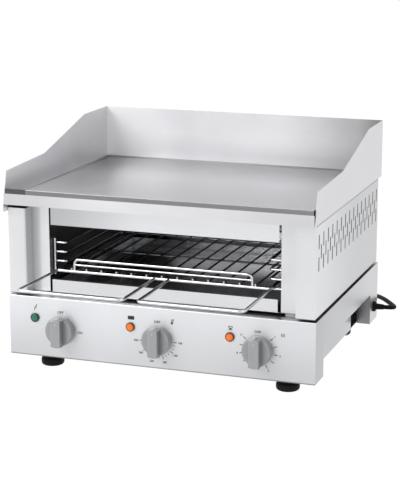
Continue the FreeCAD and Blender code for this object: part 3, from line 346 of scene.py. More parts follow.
def emboss(sheet: Sheet, height: bpy.types.NodeSocket, strength: float, depth: float) -> None:
    """Feed a fine relief to the shader.

    Args:
        sheet: Material in the making.
        height: Socket with the height, from 0 to 1.
        strength: Share of the relief that shows.
        depth: Depth in metres at a height of 1.
    """
    bump = add_node(sheet.tree, "ShaderNodeBump", Strength=strength, Distance=depth)
    link(sheet.tree, height, bump.inputs["Height"])
    link(sheet.tree, bump.outputs["Normal"], sheet.shader.inputs["Normal"])


@dataclass(frozen=True)
class PaintedShading:
    """Painted light and shade across a sheet: a slow change of tone along one axis of the appliance, standing in
    for the shading and reflections that fall there.

    Attributes:
        axis: Axis that it runs along.
        start: Place in metres where it starts.
        end: Place where it ends.
        first: Tone before its start.
        last: Tone past its end.
    """

    axis: str
    start: float
    end: float
    first: float
    last: float

    def build(self, sheet: Sheet) -> bpy.types.NodeSocket:
        """Add the nodes.

        Args:
            sheet: Material in the making.

        Returns:
            Socket with the tone about 1.
        """
        value = along_axis(sheet.tree, sheet.place, self.axis)
        return map_range(sheet.tree, value, (self.start, self.end), (self.first, self.last), "SMOOTHSTEP")


@dataclass(frozen=True)
class SlotShade:
    """Shade at the rims of three rows of upright slots, the middle row half a step on.

    Attributes:
        first: Middle of the first slot of the outer rows, along Y.
        step: Distance from one slot to the next in a row.
        steps: Number of such distances in an outer row.
        middle: Height of the middle row.
        rise: Distance from the middle row to each outer row.
        half_width: Half the width of a shaded slot.
        half_height: Half its height.
        tone: Tone of the shade.
        inset: Steps by which the middle row stays inside the outer rows' end slots.
        blur: Start and end of the rim, in half widths and half heights.
    """

    first: float
    step: float
    steps: int
    middle: float
    rise: float
    half_width: float
    half_height: float
    tone: float
    inset: float = 0.1
    blur: tuple[float, float] = (0.95, 1.07)

    def build(self, sheet: Sheet) -> bpy.types.NodeSocket:
        """Add the nodes.

        Args:
            sheet: Material in the making.

        Returns:
            Socket with the tone, 1 away from the slots.
        """
        tree = sheet.tree
        along = along_axis(tree, sheet.place, "Y")
        turns = calculate(tree, "MULTIPLY_ADD", along, 1 / self.step, 0.5 - self.first / self.step)
        lift = distance(tree, along_axis(tree, sheet.place, "Z"), self.middle)
        aside = distance(tree, along, self.first + self.steps * self.step / 2)
        rows = []
        for shift, level in ((0.0, distance(tree, lift, self.rise)), (0.5, lift)):
            turn = calculate(tree, "FRACT", calculate(tree, "ADD", turns, shift))
            across = calculate(tree, "MULTIPLY", distance(tree, turn, 0.5), self.step / self.half_width)
            rows.append(calculate(tree, "MAXIMUM", across, calculate(tree, "DIVIDE", level, self.half_height)))
        within = calculate(tree, "DIVIDE", aside, (self.steps / 2 - self.inset) * self.step)
        nearest = calculate(tree, "MINIMUM", rows[0], calculate(tree, "MAXIMUM", rows[1], within))
        return map_range(tree, nearest, self.blur, (self.tone, 1.0))


def painted_turned_shade(sheet: Sheet, axis: str, tone: float, turned: tuple[float, float] = (0.35, 0.95)
              ) -> bpy.types.NodeSocket:
    """Darken the faces that don't face along an axis with painted shade, as on sides, rims and the walls of slots
    and recesses.

    Args:
        sheet: Material in the making.
        axis: Axis of the faces that keep their tone.
        tone: Tone of the painted shade on the other faces.
        turned: Shares of the normal along the axis where the tone has its full and no effect.

    Returns:
        Socket with the tone.
    """
    coordinates = sheet.tree.nodes.new("ShaderNodeTexCoord")
    facing = calculate(sheet.tree, "ABSOLUTE", along_axis(sheet.tree, coordinates.outputs["Normal"], axis))
    return map_range(sheet.tree, facing, turned, (tone, 1.0))


@dataclass(frozen=True)
class BrushedSteel:
    """Stainless sheet or wire with a polished grain and a faint wiped haze, with painted light and shade over its
    colour.

    Attributes:
        name: Name of the material.
        colour: Its colour.
        roughness: Its mean roughness.
        grain: Direction of the grain.
        fineness: Scale of the grain.
        tone: Change of tone in the grain.
        haze: Change of tone in the haze.
        depth: Share of the grain's relief that shows.
        metallic: Share of metal, less where the steel is dull.
        flat_angle: Share of the light that it mirrors when seen at a grazing angle.
        painted_shading: Painted light and shade across the sheet, as slow changes of tone.
        turned_shade: Axis of its large faces and the tone of the painted shade on all others.
    """

    name: str
    colour: Colour
    roughness: float = 0.3
    grain: Grain = Grain.LEVEL
    fineness: float = 16.0
    tone: float = 0.10
    haze: float = 0.05
    depth: float = 0.02
    metallic: float = 1.0
    flat_angle: float = 1.0
    painted_shading: tuple[PaintedShading | SlotShade, ...] = ()
    turned_shade: tuple[str, float] | None = None

    def build(self, effects: SurfaceEffects) -> bpy.types.Material:
        """Make the material.

        Args:
            effects: Shared node groups.

        Returns:
            The finished material.
        """
        material, sheet = start_material(self.name)
        tree, shader = sheet.tree, sheet.shader
        shader.inputs["Metallic"].default_value = self.metallic
        shader.inputs["Specular Tint"].default_value = (self.flat_angle, self.flat_angle, self.flat_angle, 1.0)
        stretch = tree.nodes.new("ShaderNodeMapping")
        stretch.inputs["Scale"].default_value = self.grain.value
        link(tree, sheet.place, stretch.inputs["Vector"])
        grain = add_group(tree, effects.grain, stretch.outputs["Vector"], Fineness=self.fineness, Tone=self.tone,
                          Spread=GRAIN_SPREAD)
        clouds = add_group(tree, effects.haze, sheet.place, Size=HAZE_SIZE).outputs["Value"]
        # Grain and haze are the steel's own tone; the rest is painted light and shade.
        tones = [grain.outputs["Tone"], calculate(tree, "MULTIPLY_ADD", clouds, self.haze, 1.0),
                 *(shading.build(sheet) for shading in self.painted_shading)]
        if self.turned_shade:
            tones.append(painted_turned_shade(sheet, *self.turned_shade))
        tinted(sheet, self.colour, tones)
        dull = calculate(tree, "MULTIPLY_ADD", clouds, HAZE_ROUGHNESS, self.roughness)
        link(tree, calculate(tree, "ADD", dull, grain.outputs["Roughness"], clamp=True), shader.inputs["Roughness"])
        emboss(sheet, grain.outputs["Height"], self.depth, GRAIN_DEPTH)
        return material


@dataclass(frozen=True)
class Moulded:
    """Moulded plastic or rubber with a fine pebbled skin.

    Attributes:
        name: Name of the material.
        colour: Its colour.
        roughness: Its mean roughness.
        fineness: Scale of the pebbles.
        tone: Change of tone over the piece.
        depth: Share of the pebbles' relief that shows.
        coat: Share of a glossy skin over it.
        gloss: How much it mirrors, 0.5 as most plastics do.
        turned_shade: Axis of the faces that keep their tone and the tone of the painted shade on all others.
        coat_roughness: Roughness of the glossy skin.
    """

    name: str
    colour: Colour
    roughness: float = 0.45
    fineness: float = 900.0
    tone: float = 0.08
    depth: float = 0.15
    coat: float = 0.0
    gloss: float = 0.5
    turned_shade: tuple[str, float] | None = None
    coat_roughness: float = 0.15

    def build(self, effects: SurfaceEffects) -> bpy.types.Material:
        """Make the material.

        Args:
            effects: Shared node groups.

        Returns:
            The finished material.
        """
        material, sheet = start_material(self.name)
        tree, shader = sheet.tree, sheet.shader
        shader.inputs["Specular IOR Level"].default_value = self.gloss
        shader.inputs["Coat Weight"].default_value = self.coat
        shader.inputs["Coat Roughness"].default_value = self.coat_roughness
        skin = add_group(tree, effects.skin, sheet.place, Fineness=self.fineness, Tone=self.tone)
        tones = [skin.outputs["Tone"]]
        # Painted shade on the faces that don't face along the axis, such as a knob's sides.
        if self.turned_shade:
            tones.append(painted_turned_shade(sheet, *self.turned_shade))
        tinted(sheet, self.colour, tones)
        rough = calculate(tree, "ADD", skin.outputs["Roughness"], self.roughness - SKIN_SPREAD / 2)
        link(tree, rough, shader.inputs["Roughness"])
        emboss(sheet, skin.outputs["Height"], self.depth, SKIN_DEPTH)
        return material


@dataclass(frozen=True)
class Lens:
    """Tinted lamp lens with small prisms behind its smooth front and painted shade at its rim, where the dome turns
    away.

    Attributes:
        name: Name of the material.
        colour: Its colour.
        glow: Strength of its light.
        prism_tones: Tone at a prism's middle and at its border.
        rim_turn: Shares of the normal along Y where the painted rim shade has its full and no effect.
    """

    name: str
    colour: Colour
    glow: float = 0.25
    gloss: float = 0.3
    coat: float = 0.3
    coat_roughness: float = 0.08
    roughness: float = 0.25
    prisms: float = 700.0
    prism_tones: tuple[float, float] = (1.25, 0.65)
    rim_shade: float = 0.22
    rim_turn: tuple[float, float] = (0.86, 0.995)
    relief: float = 0.3

    def build(self, effects: SurfaceEffects) -> bpy.types.Material:
        """Make the material.

        Args:
            effects: Shared node groups.

        Returns:
            The finished material.
        """
        material, sheet = start_material(self.name)
        tree, shader = sheet.tree, sheet.shader
        shader.inputs["Specular IOR Level"].default_value = self.gloss
        shader.inputs["Coat Weight"].default_value = self.coat
        shader.inputs["Coat Roughness"].default_value = self.coat_roughness
        shader.inputs["Roughness"].default_value = self.roughness
        prism = add_node(tree, "ShaderNodeTexVoronoi", Scale=self.prisms)
        link(tree, sheet.place, prism.inputs["Vector"])
        shade = map_range(tree, prism.outputs["Distance"], (0.0, 0.8), self.prism_tones)
        skin = add_group(tree, effects.skin, sheet.place)
        # Painted shade on the dome's rim, carried into its glow as well.
        rim = painted_turned_shade(sheet, "Y", self.rim_shade, self.rim_turn)
        tint = tinted(sheet, self.colour, [shade, skin.outputs["Tone"], rim])
        link(tree, tint, shader.inputs["Emission Color"])
        shader.inputs["Emission Strength"].default_value = self.glow
        emboss(sheet, prism.outputs["Distance"], self.relief, PRISM_DEPTH)
        return material


Finish = BrushedSteel | Moulded | Lens


# Finishes of this appliance

# Painted light and shade: darker towards the table and to the right, with a thin painted shadow along the bottom.
PANEL_STEEL = BrushedSteel(
    "panel_steel", (0.725, 0.73, 0.75), roughness=0.42, haze=0.045, metallic=0.75,
    painted_shading=(PaintedShading("Z", 0.020, 0.130, 0.87, 1.06), PaintedShading("X", -0.10, 0.27, 1.0, 0.89),
           PaintedShading("Z", 0.0264, 0.0288, 0.36, 1.0)))
# Painted shade on the faces that don't face sideways, such as the recess walls, and painted shading darker at the
# front, lighter towards the rear.
SIDE_STEEL = BrushedSteel(
    "side_steel", (0.64, 0.645, 0.665), roughness=0.34, metallic=0.85, haze=0.08, turned_shade=("X", 0.42),
    painted_shading=(PaintedShading("Y", -0.15, -0.03, 0.74, 0.84), PaintedShading("Y", 0.02, 0.24, 1.0, 1.22)))
# Painted shade: near black on the slot walls and other faces not facing sideways, darker towards the rear, a dark
# band at the top under the guard, and dark rims round the slots.
CASE_STEEL = BrushedSteel(
    "case_steel", (0.76, 0.765, 0.785), roughness=0.36, metallic=0.85, haze=0.06, turned_shade=("X", 0.03),
    painted_shading=(PaintedShading("Y", -0.16, 0.12, 1.0, 0.80), PaintedShading("Z", CASE_TOP - 0.0042, CASE_TOP - 0.0026, 1.0, 0.22),
           SlotShade(-0.13345, 0.02726, 14, 0.236, 0.018, 0.0024, 0.0115, 0.12)))
REAR_STEEL = BrushedSteel("rear_steel", (0.74, 0.745, 0.765), roughness=0.36, metallic=0.85, haze=0.06)
# Painted light and shade: a dark stripe at the left post's step that lightens in two steps beyond it, and the right
# half darker towards the right.
POST_STEEL = BrushedSteel(
    "post_steel", (0.725, 0.73, 0.745), roughness=0.34, metallic=0.85, haze=0.06,
    painted_shading=(PaintedShading("X", 0.0, 0.25, 1.0, 0.93), PaintedShading("X", -0.2365, -0.2315, 1.0, 0.78),
           PaintedShading("X", -0.2310, -0.2270, 1.0, 1.15), PaintedShading("X", -0.2190, -0.2140, 1.0, 1.18)))
# Painted shading: darker towards both ends.
FASCIA_STEEL = BrushedSteel(
    "fascia_steel", (0.725, 0.725, 0.745), roughness=0.36, haze=0.06,
    painted_shading=(PaintedShading("X", -0.26, -0.05, 0.86, 1.0), PaintedShading("X", 0.05, 0.26, 1.0, 0.86)))
# Painted shade on the faces that don't face sideways.
GUARD_STEEL = BrushedSteel("guard_steel", (0.70, 0.70, 0.72), roughness=0.34, metallic=0.85, turned_shade=("X", 0.62))
# Painted shade on the faces that don't face sideways, such as the front lip, and painted shading lighter at the
# front and darker at the rear.
LEFT_GUARD_STEEL = BrushedSteel(
    "left_guard_steel", (0.89, 0.89, 0.91), roughness=0.40, metallic=0.60, haze=0.08, turned_shade=("X", 0.45),
    painted_shading=(PaintedShading("Y", -0.15, 0.22, 1.22, 0.80),))
# Painted light and shade: darker to the right and in the right corner, painted light at the left against the left
# guard's shadow, a little darker at the bottom and darker towards the top.
REAR_GUARD_STEEL = BrushedSteel(
    "rear_guard_steel", (0.90, 0.90, 0.92), roughness=0.38, metallic=0.65, haze=0.05,
    painted_shading=(PaintedShading("X", 0.06, 0.265, 1.0, 0.56), PaintedShading("X", 0.215, 0.265, 1.0, 0.60),
           PaintedShading("X", -0.265, -0.09, 1.60, 1.0), PaintedShading("Z", 0.286, 0.306, 0.92, 1.0),
           PaintedShading("Z", 0.325, 0.384, 1.0, 0.84)))
# Painted reflections and shade: much darker towards the rear and a little darker at the left, with painted shade on
# the faces that don't face up.
PLATE_STEEL = BrushedSteel(
    "plate_steel", (0.49, 0.49, 0.508), roughness=0.24, grain=Grain.ACROSS, fineness=9.0, tone=0.06, haze=0.05,
    flat_angle=0.8, turned_shade=("Z", 0.50),
    painted_shading=(PaintedShading("Y", 0.0, 0.19, 1.0, 0.30), PaintedShading("X", -0.22, -0.02, 0.97, 1.0)))
# Painted shade on the faces that don't face forward, such as its underside, and painted shading darker at the left.
HEADER_STEEL = BrushedSteel(
    "header_steel", (0.75, 0.76, 0.78), roughness=0.32, haze=0.06, turned_shade=("Y", 0.35),
    painted_shading=(PaintedShading("X", -0.20, -0.02, 0.68, 1.0),))
# Near black: painted shade for the inside of the chamber, on the liner and the heat reflector.
LINER_STEEL = BrushedSteel("liner_steel", (0.15, 0.15, 0.155), roughness=0.32, haze=0.12)
# Painted light and shadow: bright only in a low band at the right, with painted shadow to its left and above it.
REAR_WALL_STEEL = BrushedSteel(
    "rear_wall_steel", (0.88, 0.88, 0.89), roughness=0.27, haze=0.08,
    painted_shading=(PaintedShading("X", -0.138, -0.095, 0.12, 1.0), PaintedShading("Z", 0.176, 0.181, 1.0, 0.22)))
# Painted shading: darker towards the right.
PAN_STEEL = BrushedSteel(
    "pan_steel", (0.50, 0.50, 0.515), roughness=0.32, grain=Grain.ACROSS, flat_angle=0.8,
    painted_shading=(PaintedShading("X", 0.0, 0.15, 1.0, 0.80),))
# Painted shade on its rear wall.
TRAY_STEEL = BrushedSteel(
    "tray_steel", (0.70, 0.705, 0.72), roughness=0.14, haze=0.06, metallic=0.9,
    painted_shading=(PaintedShading("Y", 0.215, 0.224, 1.0, 0.45),))
# Painted shade on its front face.
GREASE_STEEL = BrushedSteel(
    "grease_steel", (0.60, 0.60, 0.62), roughness=0.38, painted_shading=(PaintedShading("Y", -0.1640, -0.1625, 0.17, 1.0),))
WIRE_STEEL = BrushedSteel("wire_steel", (0.61, 0.615, 0.63), roughness=0.18, grain=Grain.ROUND, tone=0.06)
# Painted light and shade: bright at the front, dark inside the chamber, and a painted highlight at the rear.
RACK_STEEL = BrushedSteel(
    "rack_steel", (0.61, 0.615, 0.63), roughness=0.20, grain=Grain.ROUND, tone=0.06,
    painted_shading=(PaintedShading("Y", -0.125, -0.110, 1.0, 0.22), PaintedShading("Y", 0.135, 0.150, 1.0, 3.0)))
BRACKET_STEEL = BrushedSteel("bracket_steel", (0.42, 0.42, 0.43), roughness=0.42)
SCREW_STEEL = BrushedSteel("screw_steel", (0.60, 0.60, 0.61), roughness=0.25, grain=Grain.ROUND)
SHAFT_STEEL = BrushedSteel("shaft_steel", (0.55, 0.55, 0.56), roughness=0.28, grain=Grain.ROUND)
ELEMENT_ALLOY = BrushedSteel(
    "element_alloy", (0.13, 0.12, 0.11), roughness=0.5, grain=Grain.ROUND, haze=0.2, metallic=0.7)
# Painted shade on the faces that don't face forward, such as the sides of the grip and disc.
KNOB_GREY = Moulded("knob_grey", (0.312, 0.317, 0.327), roughness=0.28, depth=0.06, coat=0.8, turned_shade=("Y", 0.55))
RING_BLACK = Moulded("ring_black", (0.020, 0.013, 0.011), roughness=0.35, coat=0.1)
FOOT_RUBBER = Moulded("foot_rubber", (0.012, 0.012, 0.013), roughness=0.55, fineness=500.0, gloss=0.12)
CORD_RUBBER = Moulded("cord_rubber", (0.004, 0.004, 0.005), roughness=0.5, fineness=700.0, gloss=0.08)
GLAND_PLASTIC = Moulded("gland_plastic", (0.005, 0.005, 0.006), roughness=0.5, gloss=0.10)
DEVICE_PLASTIC = Moulded("device_plastic", (0.03, 0.03, 0.03), roughness=0.5)
TERMINAL_PLASTIC = Moulded("terminal_plastic", (0.68, 0.66, 0.60), roughness=0.45)
PRINT_INK = Moulded("print_ink", (0.012, 0.012, 0.014), roughness=0.6, depth=0.02)
POINTER_PAINT = Moulded("pointer_paint", (0.62, 0.62, 0.62), roughness=0.4, depth=0.02)
LENS_GREEN = Lens("lens_green", (0.010, 0.19, 0.105), glow=0.10)
LENS_ORANGE = Lens("lens_orange", (0.90, 0.17, 0.012), glow=0.36)

FINISHED_NODES: tuple[tuple[Finish, tuple[str, ...]], ...] = (
    (PANEL_STEEL, ("control_panel",)),
    (SIDE_STEEL, ("base_side_left", "base_side_right")),
    (REAR_STEEL, ("base_rear_panel", "case_rear_panel")),
    (BRACKET_STEEL, ("base_floor", "case_spacers", "element_clamps")),
    (PAN_STEEL, ("base_deck", "hood_pan")),
    (FOOT_RUBBER, ("foot_front_left", "foot_front_right", "foot_rear_left", "foot_rear_right")),
    (LINER_STEEL, ("chamber_liner", "heat_reflector")),
    (POST_STEEL, ("case_post_left", "case_post_right")),
    (CASE_STEEL, ("case_side_left", "case_side_right")),
    (REAR_WALL_STEEL, ("chamber_rear_wall",)),
    (HEADER_STEEL, ("header_panel",)),
    (FASCIA_STEEL, ("hood_fascia",)),
    (LEFT_GUARD_STEEL, ("splash_guard_left",)),
    (GUARD_STEEL, ("splash_guard_right",)),
    (REAR_GUARD_STEEL, ("splash_guard_rear",)),
    (PLATE_STEEL, ("griddle_plate",)),
    (GREASE_STEEL, ("grease_tray",)),
    (ELEMENT_ALLOY, ("griddle_element_front", "griddle_element_rear", "toast_element_left", "toast_element_centre",
                     "toast_element_right")),
    (WIRE_STEEL, ("element_guard", "rack_guide_left", "rack_guide_right", "rack_handle_left", "rack_handle_right",
                  "rack_stop_rail")),
    (RACK_STEEL, ("toast_rack",)),
    (TRAY_STEEL, ("crumb_tray",)),
    (KNOB_GREY, ("power_knob", "griddle_knob", "toast_knob")),
    (SHAFT_STEEL, ("power_shaft", "griddle_shaft", "toast_shaft")),
    (LENS_GREEN, ("power_lamp",)),
    (LENS_ORANGE, ("griddle_lamp", "toast_lamp")),
    (DEVICE_PLASTIC, ("power_switch", "griddle_thermostat", "toast_timer")),
    (RING_BLACK, ("lamp_rings",)),
    (TERMINAL_PLASTIC, ("terminal_block",)),
    (SCREW_STEEL, ("rear_screws",)),
    (GLAND_PLASTIC, ("cable_gland", "plug")),
)


class Finishes:
    """Materials of the appliance, each made once when it is first asked for."""

    def __init__(self) -> None:
        """Build the shared effects."""
        self.effects = SurfaceEffects()
        self._made: dict[str, bpy.types.Material] = {}

    def get(self, finish: Finish) -> bpy.types.Material:
        """Give the material of a finish."""
        if finish.name not in self._made:
            self._made[finish.name] = finish.build(self.effects)
        return self._made[finish.name]

    def dress(self, nodes: dict[str, bpy.types.Object]) -> None:
        """Put the finishes on the pieces that the frame brings.

        Args:
            nodes: Pieces of the frame by name.
        """
        for finish, names in FINISHED_NODES:
            for name in names:
                for slot in nodes[name].material_slots:
                    slot.link = "OBJECT"
                    slot.material = self.get(finish)


# Mesh helpers


def place_mesh(name: str, shape: bmesh.types.BMesh, finish: bpy.types.Material, body: str) -> None:
    """Turn a bmesh into a flat-shaded piece that rides on a body.

    Args:
        name: Name of the piece.
        shape: Shape in metres, in the frame of the whole appliance.
        finish: Material of the piece.
        body: Body that carries it.
    """
    bmesh.ops.recalc_face_normals(shape, faces=shape.faces)
    mesh = bpy.data.meshes.new(name)
    shape.to_mesh(mesh)
    shape.free()
    mesh.materials.append(finish)
    for polygon in mesh.polygons:
        polygon.use_smooth = False
    piece = bpy.data.objects.new(name, mesh)
    bpy.context.scene.collection.objects.link(piece)
    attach(piece, body)


def add_block(shape: bmesh.types.BMesh, middle: Vector, size: Point, turn: float) -> None:
    """Add a small block to a bmesh, turned about its own middle and the Y axis.

    Args:
        shape: Bmesh that gets the block.
        middle: Middle of the block.
        size: Its sides along X, Y and Z before it is turned.
        turn: Angle in radians, clockwise as seen from the front.
    """
    corners = bmesh.ops.create_cube(shape, size=1.0)["verts"]
    bmesh.ops.scale(shape, vec=size, verts=corners)
    bmesh.ops.translate(shape, vec=middle, verts=corners)
    bmesh.ops.rotate(shape, cent=middle, matrix=Matrix.Rotation(turn, 3, "Y"), verts=corners)


# Studio


@dataclass(frozen=True)
class StudioCamera:
    """Camera at the photograph's place, with its angles in degrees."""

    place: Point = (0.8896, -2.45265, 0.8216)
    yaw: float = 19.55
    pitch: float = 13.61
    roll: float = -0.10
    lens: float = 114.02
    sensor: float = 36.0
    far: float = 50.0

    def build(self) -> None:
        """Make the camera and look through it."""
        yaw, pitch, roll = (math.radians(angle) for angle in (self.yaw, self.pitch, self.roll))
        ahead = Vector((-math.sin(yaw) * math.cos(pitch), math.cos(yaw) * math.cos(pitch), -math.sin(pitch)))
        level = Vector((math.cos(yaw), math.sin(yaw), 0.0))
        upright = level.cross(ahead)
        right = level * math.cos(roll) + upright * math.sin(roll)
        up = upright * math.cos(roll) - level * math.sin(roll)
        data = bpy.data.cameras.new("studio_camera")
        data.lens = self.lens
        data.sensor_width = self.sensor
        data.clip_end = self.far
        camera = bpy.data.objects.new("studio_camera", data)
        turn = Matrix((right, up, -ahead)).transposed().to_4x4()
        camera.matrix_world = Matrix.Translation(self.place) @ turn
        bpy.context.scene.collection.objects.link(camera)
        bpy.context.scene.camera = camera


@dataclass(frozen=True)
class SoftBox:
    """Large soft lamp that points at the appliance."""

    name: str
    place: Point
    size: float
    power: float

    def build(self, target: Vector) -> None:
        """Make the lamp.

        Args:
            target: Point that it is turned to.
        """
        data = bpy.data.lights.new(self.name, "AREA")
        data.shape = "SQUARE"
        data.size = self.size
        data.energy = self.power
        lamp = bpy.data.objects.new(self.name, data)
        lamp.location = self.place
        lamp.rotation_euler = (target - Vector(self.place)).to_track_quat("-Z", "Y").to_euler()
        bpy.context.scene.collection.objects.link(lamp)


def background_share(tree: bpy.types.NodeTree, share: float) -> bpy.types.NodeSocket:
    """Give a share of plain white to what the camera, a reflection or clear glass sees.

    Args:
        tree: Node tree of the world or the floor.
        share: Share of white for those rays.

    Returns:
        Socket with the share, which is 0 for every other ray.
    """
    rays = tree.nodes.new("ShaderNodeLightPath").outputs
    seen = rays["Is Camera Ray"]
    for label in ("Is Glossy Ray", "Is Transmission Ray"):
        seen = calculate(tree, "ADD", seen, rays[label], clamp=True)
    return calculate(tree, "MULTIPLY", seen, share)


def mix_shown(tree: bpy.types.NodeTree, share: float, lit: bpy.types.NodeSocket, shown: bpy.types.NodeSocket,
              output: str) -> None:
    """Show one shader to the camera and in reflections, and use another for all other light.

    Args:
        tree: Node tree of the world or the floor.
        share: Share of the shown shader for those rays.
        lit: Shader for all other rays.
        shown: Shader that is shown.
        output: Name of the tree's output node.
    """
    mix = tree.nodes.new("ShaderNodeMixShader")
    link(tree, background_share(tree, share), mix.inputs["Fac"])
    link(tree, lit, mix.inputs[1])
    link(tree, shown, mix.inputs[2])
    link(tree, mix.outputs["Shader"], tree.nodes[output].inputs["Surface"])


@dataclass(frozen=True)
class Studio:
    """White room: pale floor, plain world light and four soft lamps."""

    target: Point = (0.0, 0.0, 0.2)
    world_light: float = 0.36
    world_colour: Colour = (0.97, 0.98, 1.0)
    floor_side: float = 12.0
    floor_height: float = -0.0004
    floor_colour: Colour = (0.97, 0.97, 0.97)
    floor_tones: tuple[float, float] = (0.985, 1.0)
    floor_roughness: float = 0.9
    floor_white: float = 1.05
    floor_share: float = 0.95
    lamps: tuple[SoftBox, ...] = (
        SoftBox("key_lamp", (-1.9, -2.4, 2.6), 2.2, 98.0),
        SoftBox("fill_lamp", (2.6, -1.2, 2.0), 1.8, 16.0),
        SoftBox("low_lamp", (-0.75, -3.24, 0.91), 0.25, 3.5),
        SoftBox("edge_lamp", (-2.7, -1.3, 2.2), 0.3, 12.0),
    )

    def build(self) -> None:
        """Make the world, the floor and the lamps."""
        self._world()
        self._floor()
        for lamp in self.lamps:
            lamp.build(Vector(self.target))

    def _world(self) -> None:
        """White to the camera and in reflections, and plain light for everything else."""
        world = bpy.data.worlds.new("studio_world")
        world.use_nodes = True
        tree = world.node_tree
        light = tree.nodes["Background"]
        light.inputs["Color"].default_value = (*self.world_colour, 1.0)
        light.inputs["Strength"].default_value = self.world_light
        shown = add_node(tree, "ShaderNodeBackground", Strength=1.0)
        shown.inputs["Color"].default_value = (1.0, 1.0, 1.0, 1.0)
        mix_shown(tree, 1.0, light.outputs["Background"], shown.outputs["Background"], "World Output")
        bpy.context.scene.world = world

    def _floor(self) -> None:
        """Pale floor that shows white and keeps a faint shadow."""
        shape = bmesh.new()
        bmesh.ops.create_grid(shape, x_segments=1, y_segments=1, size=self.floor_side / 2)
        mesh = bpy.data.meshes.new("floor")
        shape.to_mesh(mesh)
        shape.free()
        floor = bpy.data.objects.new("floor", mesh)
        floor.location = (0.0, 0.0, self.floor_height)
        bpy.context.scene.collection.objects.link(floor)
        material, sheet = start_material("floor_paint")
        tree, shader = sheet.tree, sheet.shader
        cloud = add_node(tree, "ShaderNodeTexNoise", Scale=3.0)
        link(tree, sheet.place, cloud.inputs["Vector"])
        tinted(sheet, self.floor_colour, [map_range(tree, cloud.outputs["Fac"], CLOUD_RANGE, self.floor_tones)])
        shader.inputs["Roughness"].default_value = self.floor_roughness
        glow = add_node(tree, "ShaderNodeEmission", Strength=self.floor_white)
        mix_shown(tree, self.floor_share, shader.outputs["BSDF"], glow.outputs["Emission"], "Material Output")
        mesh.materials.append(material)


# Supply cord


@dataclass(frozen=True)
class SupplyCord:
    """Black mains cord from the gland down to the table, with its spare length in a coil behind the case.

    Its diameter is in metres. All else is in millimetres, with Y from the base's front face. The coil goes inward
    on the table and comes back out on top of itself, after a climb whose half is given in turns. Its control points
    lie out from the circle by a share of the way to the corners of the polygon round it.
    """

    diameter: float = 0.008
    tip: Point = (283.5, 390.0, 53.0)
    route: tuple[Point, ...] = (
        (291.5, 390.0, 53.0), (299.2, 396.4, 52.0), (300.9, 406.3, 50.3), (291.5, 421.5, 50.2),
        (272.0, 450.0, 51.0), (246.0, 490.0, 46.0), (219.0, 525.0, 31.5), (190.0, 546.0, 13.0),
        (150.0, 554.0, 4.0), (126.0, 554.0, 4.0),
    )
    coil_centre: tuple[float, float] = (118.0, 500.0)
    coil_radius: float = 54.0
    coil_pitch: float = 8.6
    coil_turns: int = 5
    points_per_turn: int = 16
    climb: float = 0.25
    corner_share: float = 0.75
    tail: float = 54.0
    tail_height: float = 12.6

    def _coil_point(self, turn: float) -> Point:
        """Give a control point of the coil.

        Args:
            turn: Turns from the start of the coil.

        Returns:
            The point in millimetres.
        """
        middle = self.coil_turns / 2
        inward, rise = turn if turn <= middle else self.coil_turns - turn, 0.0
        if inward > middle - self.climb:
            share = (inward - middle + self.climb) / self.climb
            inward = middle - self.climb + self.climb * (share - share * share / 2)
            rise = (1 - math.cos(math.pi / 2 * share)) / 2
        if turn > middle:
            rise = 1 - rise
        outside = 2 / (1 + math.cos(2 * math.pi / self.points_per_turn))
        radius = (self.coil_radius - self.coil_pitch * inward) * (1 + (outside - 1) * self.corner_share)
        angle = math.pi / 2 + 2 * math.pi * turn
        return (self.coil_centre[0] + radius * math.cos(angle), self.coil_centre[1] + radius * math.sin(angle),
                1000 * self.diameter / 2 + rise * self.coil_pitch)

    def _points(self) -> list[Vector]:
        """Give the cord's control points in metres, in the frame of the whole appliance."""
        points = [self.tip, *self.route]
        steps = self.coil_turns * self.points_per_turn
        points += [self._coil_point(self.coil_turns * step / steps) for step in range(steps + 1)]
        end_x, end_y = self.coil_centre[0], self.coil_centre[1] + self.coil_radius
        points += [(end_x - self.tail * share, end_y, self.tail_height) for share in (0.33, 0.66, 1.0)]
        return [Vector((x / 1000, FRONT + y / 1000, z / 1000)) for x, y, z in points]

    def build(self, finishes: Finishes, nodes: dict[str, bpy.types.Object]) -> None:
        """Args:
            finishes: Materials.
            nodes: Pieces of the frame by name; not used.
        """
        data = bpy.data.curves.new("supply_cord", "CURVE")
        data.dimensions = "3D"
        data.bevel_depth = self.diameter / 2
        data.bevel_resolution = 4
        data.resolution_u = 5
        data.use_fill_caps = True
        points = self._points()
        spline = data.splines.new("NURBS")
        spline.points.add(len(points) - 1)
        for knot, point in zip(spline.points, points):
            knot.co = (*point, 1.0)
        spline.order_u = 3
        spline.use_endpoint_u = True
        data.materials.append(finishes.get(CORD_RUBBER))
        cord = bpy.data.objects.new("supply_cord", data)
        bpy.context.scene.collection.objects.link(cord)
        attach(cord, "appliance")
        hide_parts("cord_lead", "cord_coil")


# Printed marks and knobs


@dataclass(frozen=True)
class Symbol:
    """Plain symbol printed on the panel.

    Attributes:
        x: Its middle along X.
        z: Its middle along Z.
        strokes: Shift along X, shift along Z, width, height and clockwise turn in degrees of each stroke.
    """

    x: float
    z: float
    strokes: tuple[tuple[float, float, float, float, float], ...]


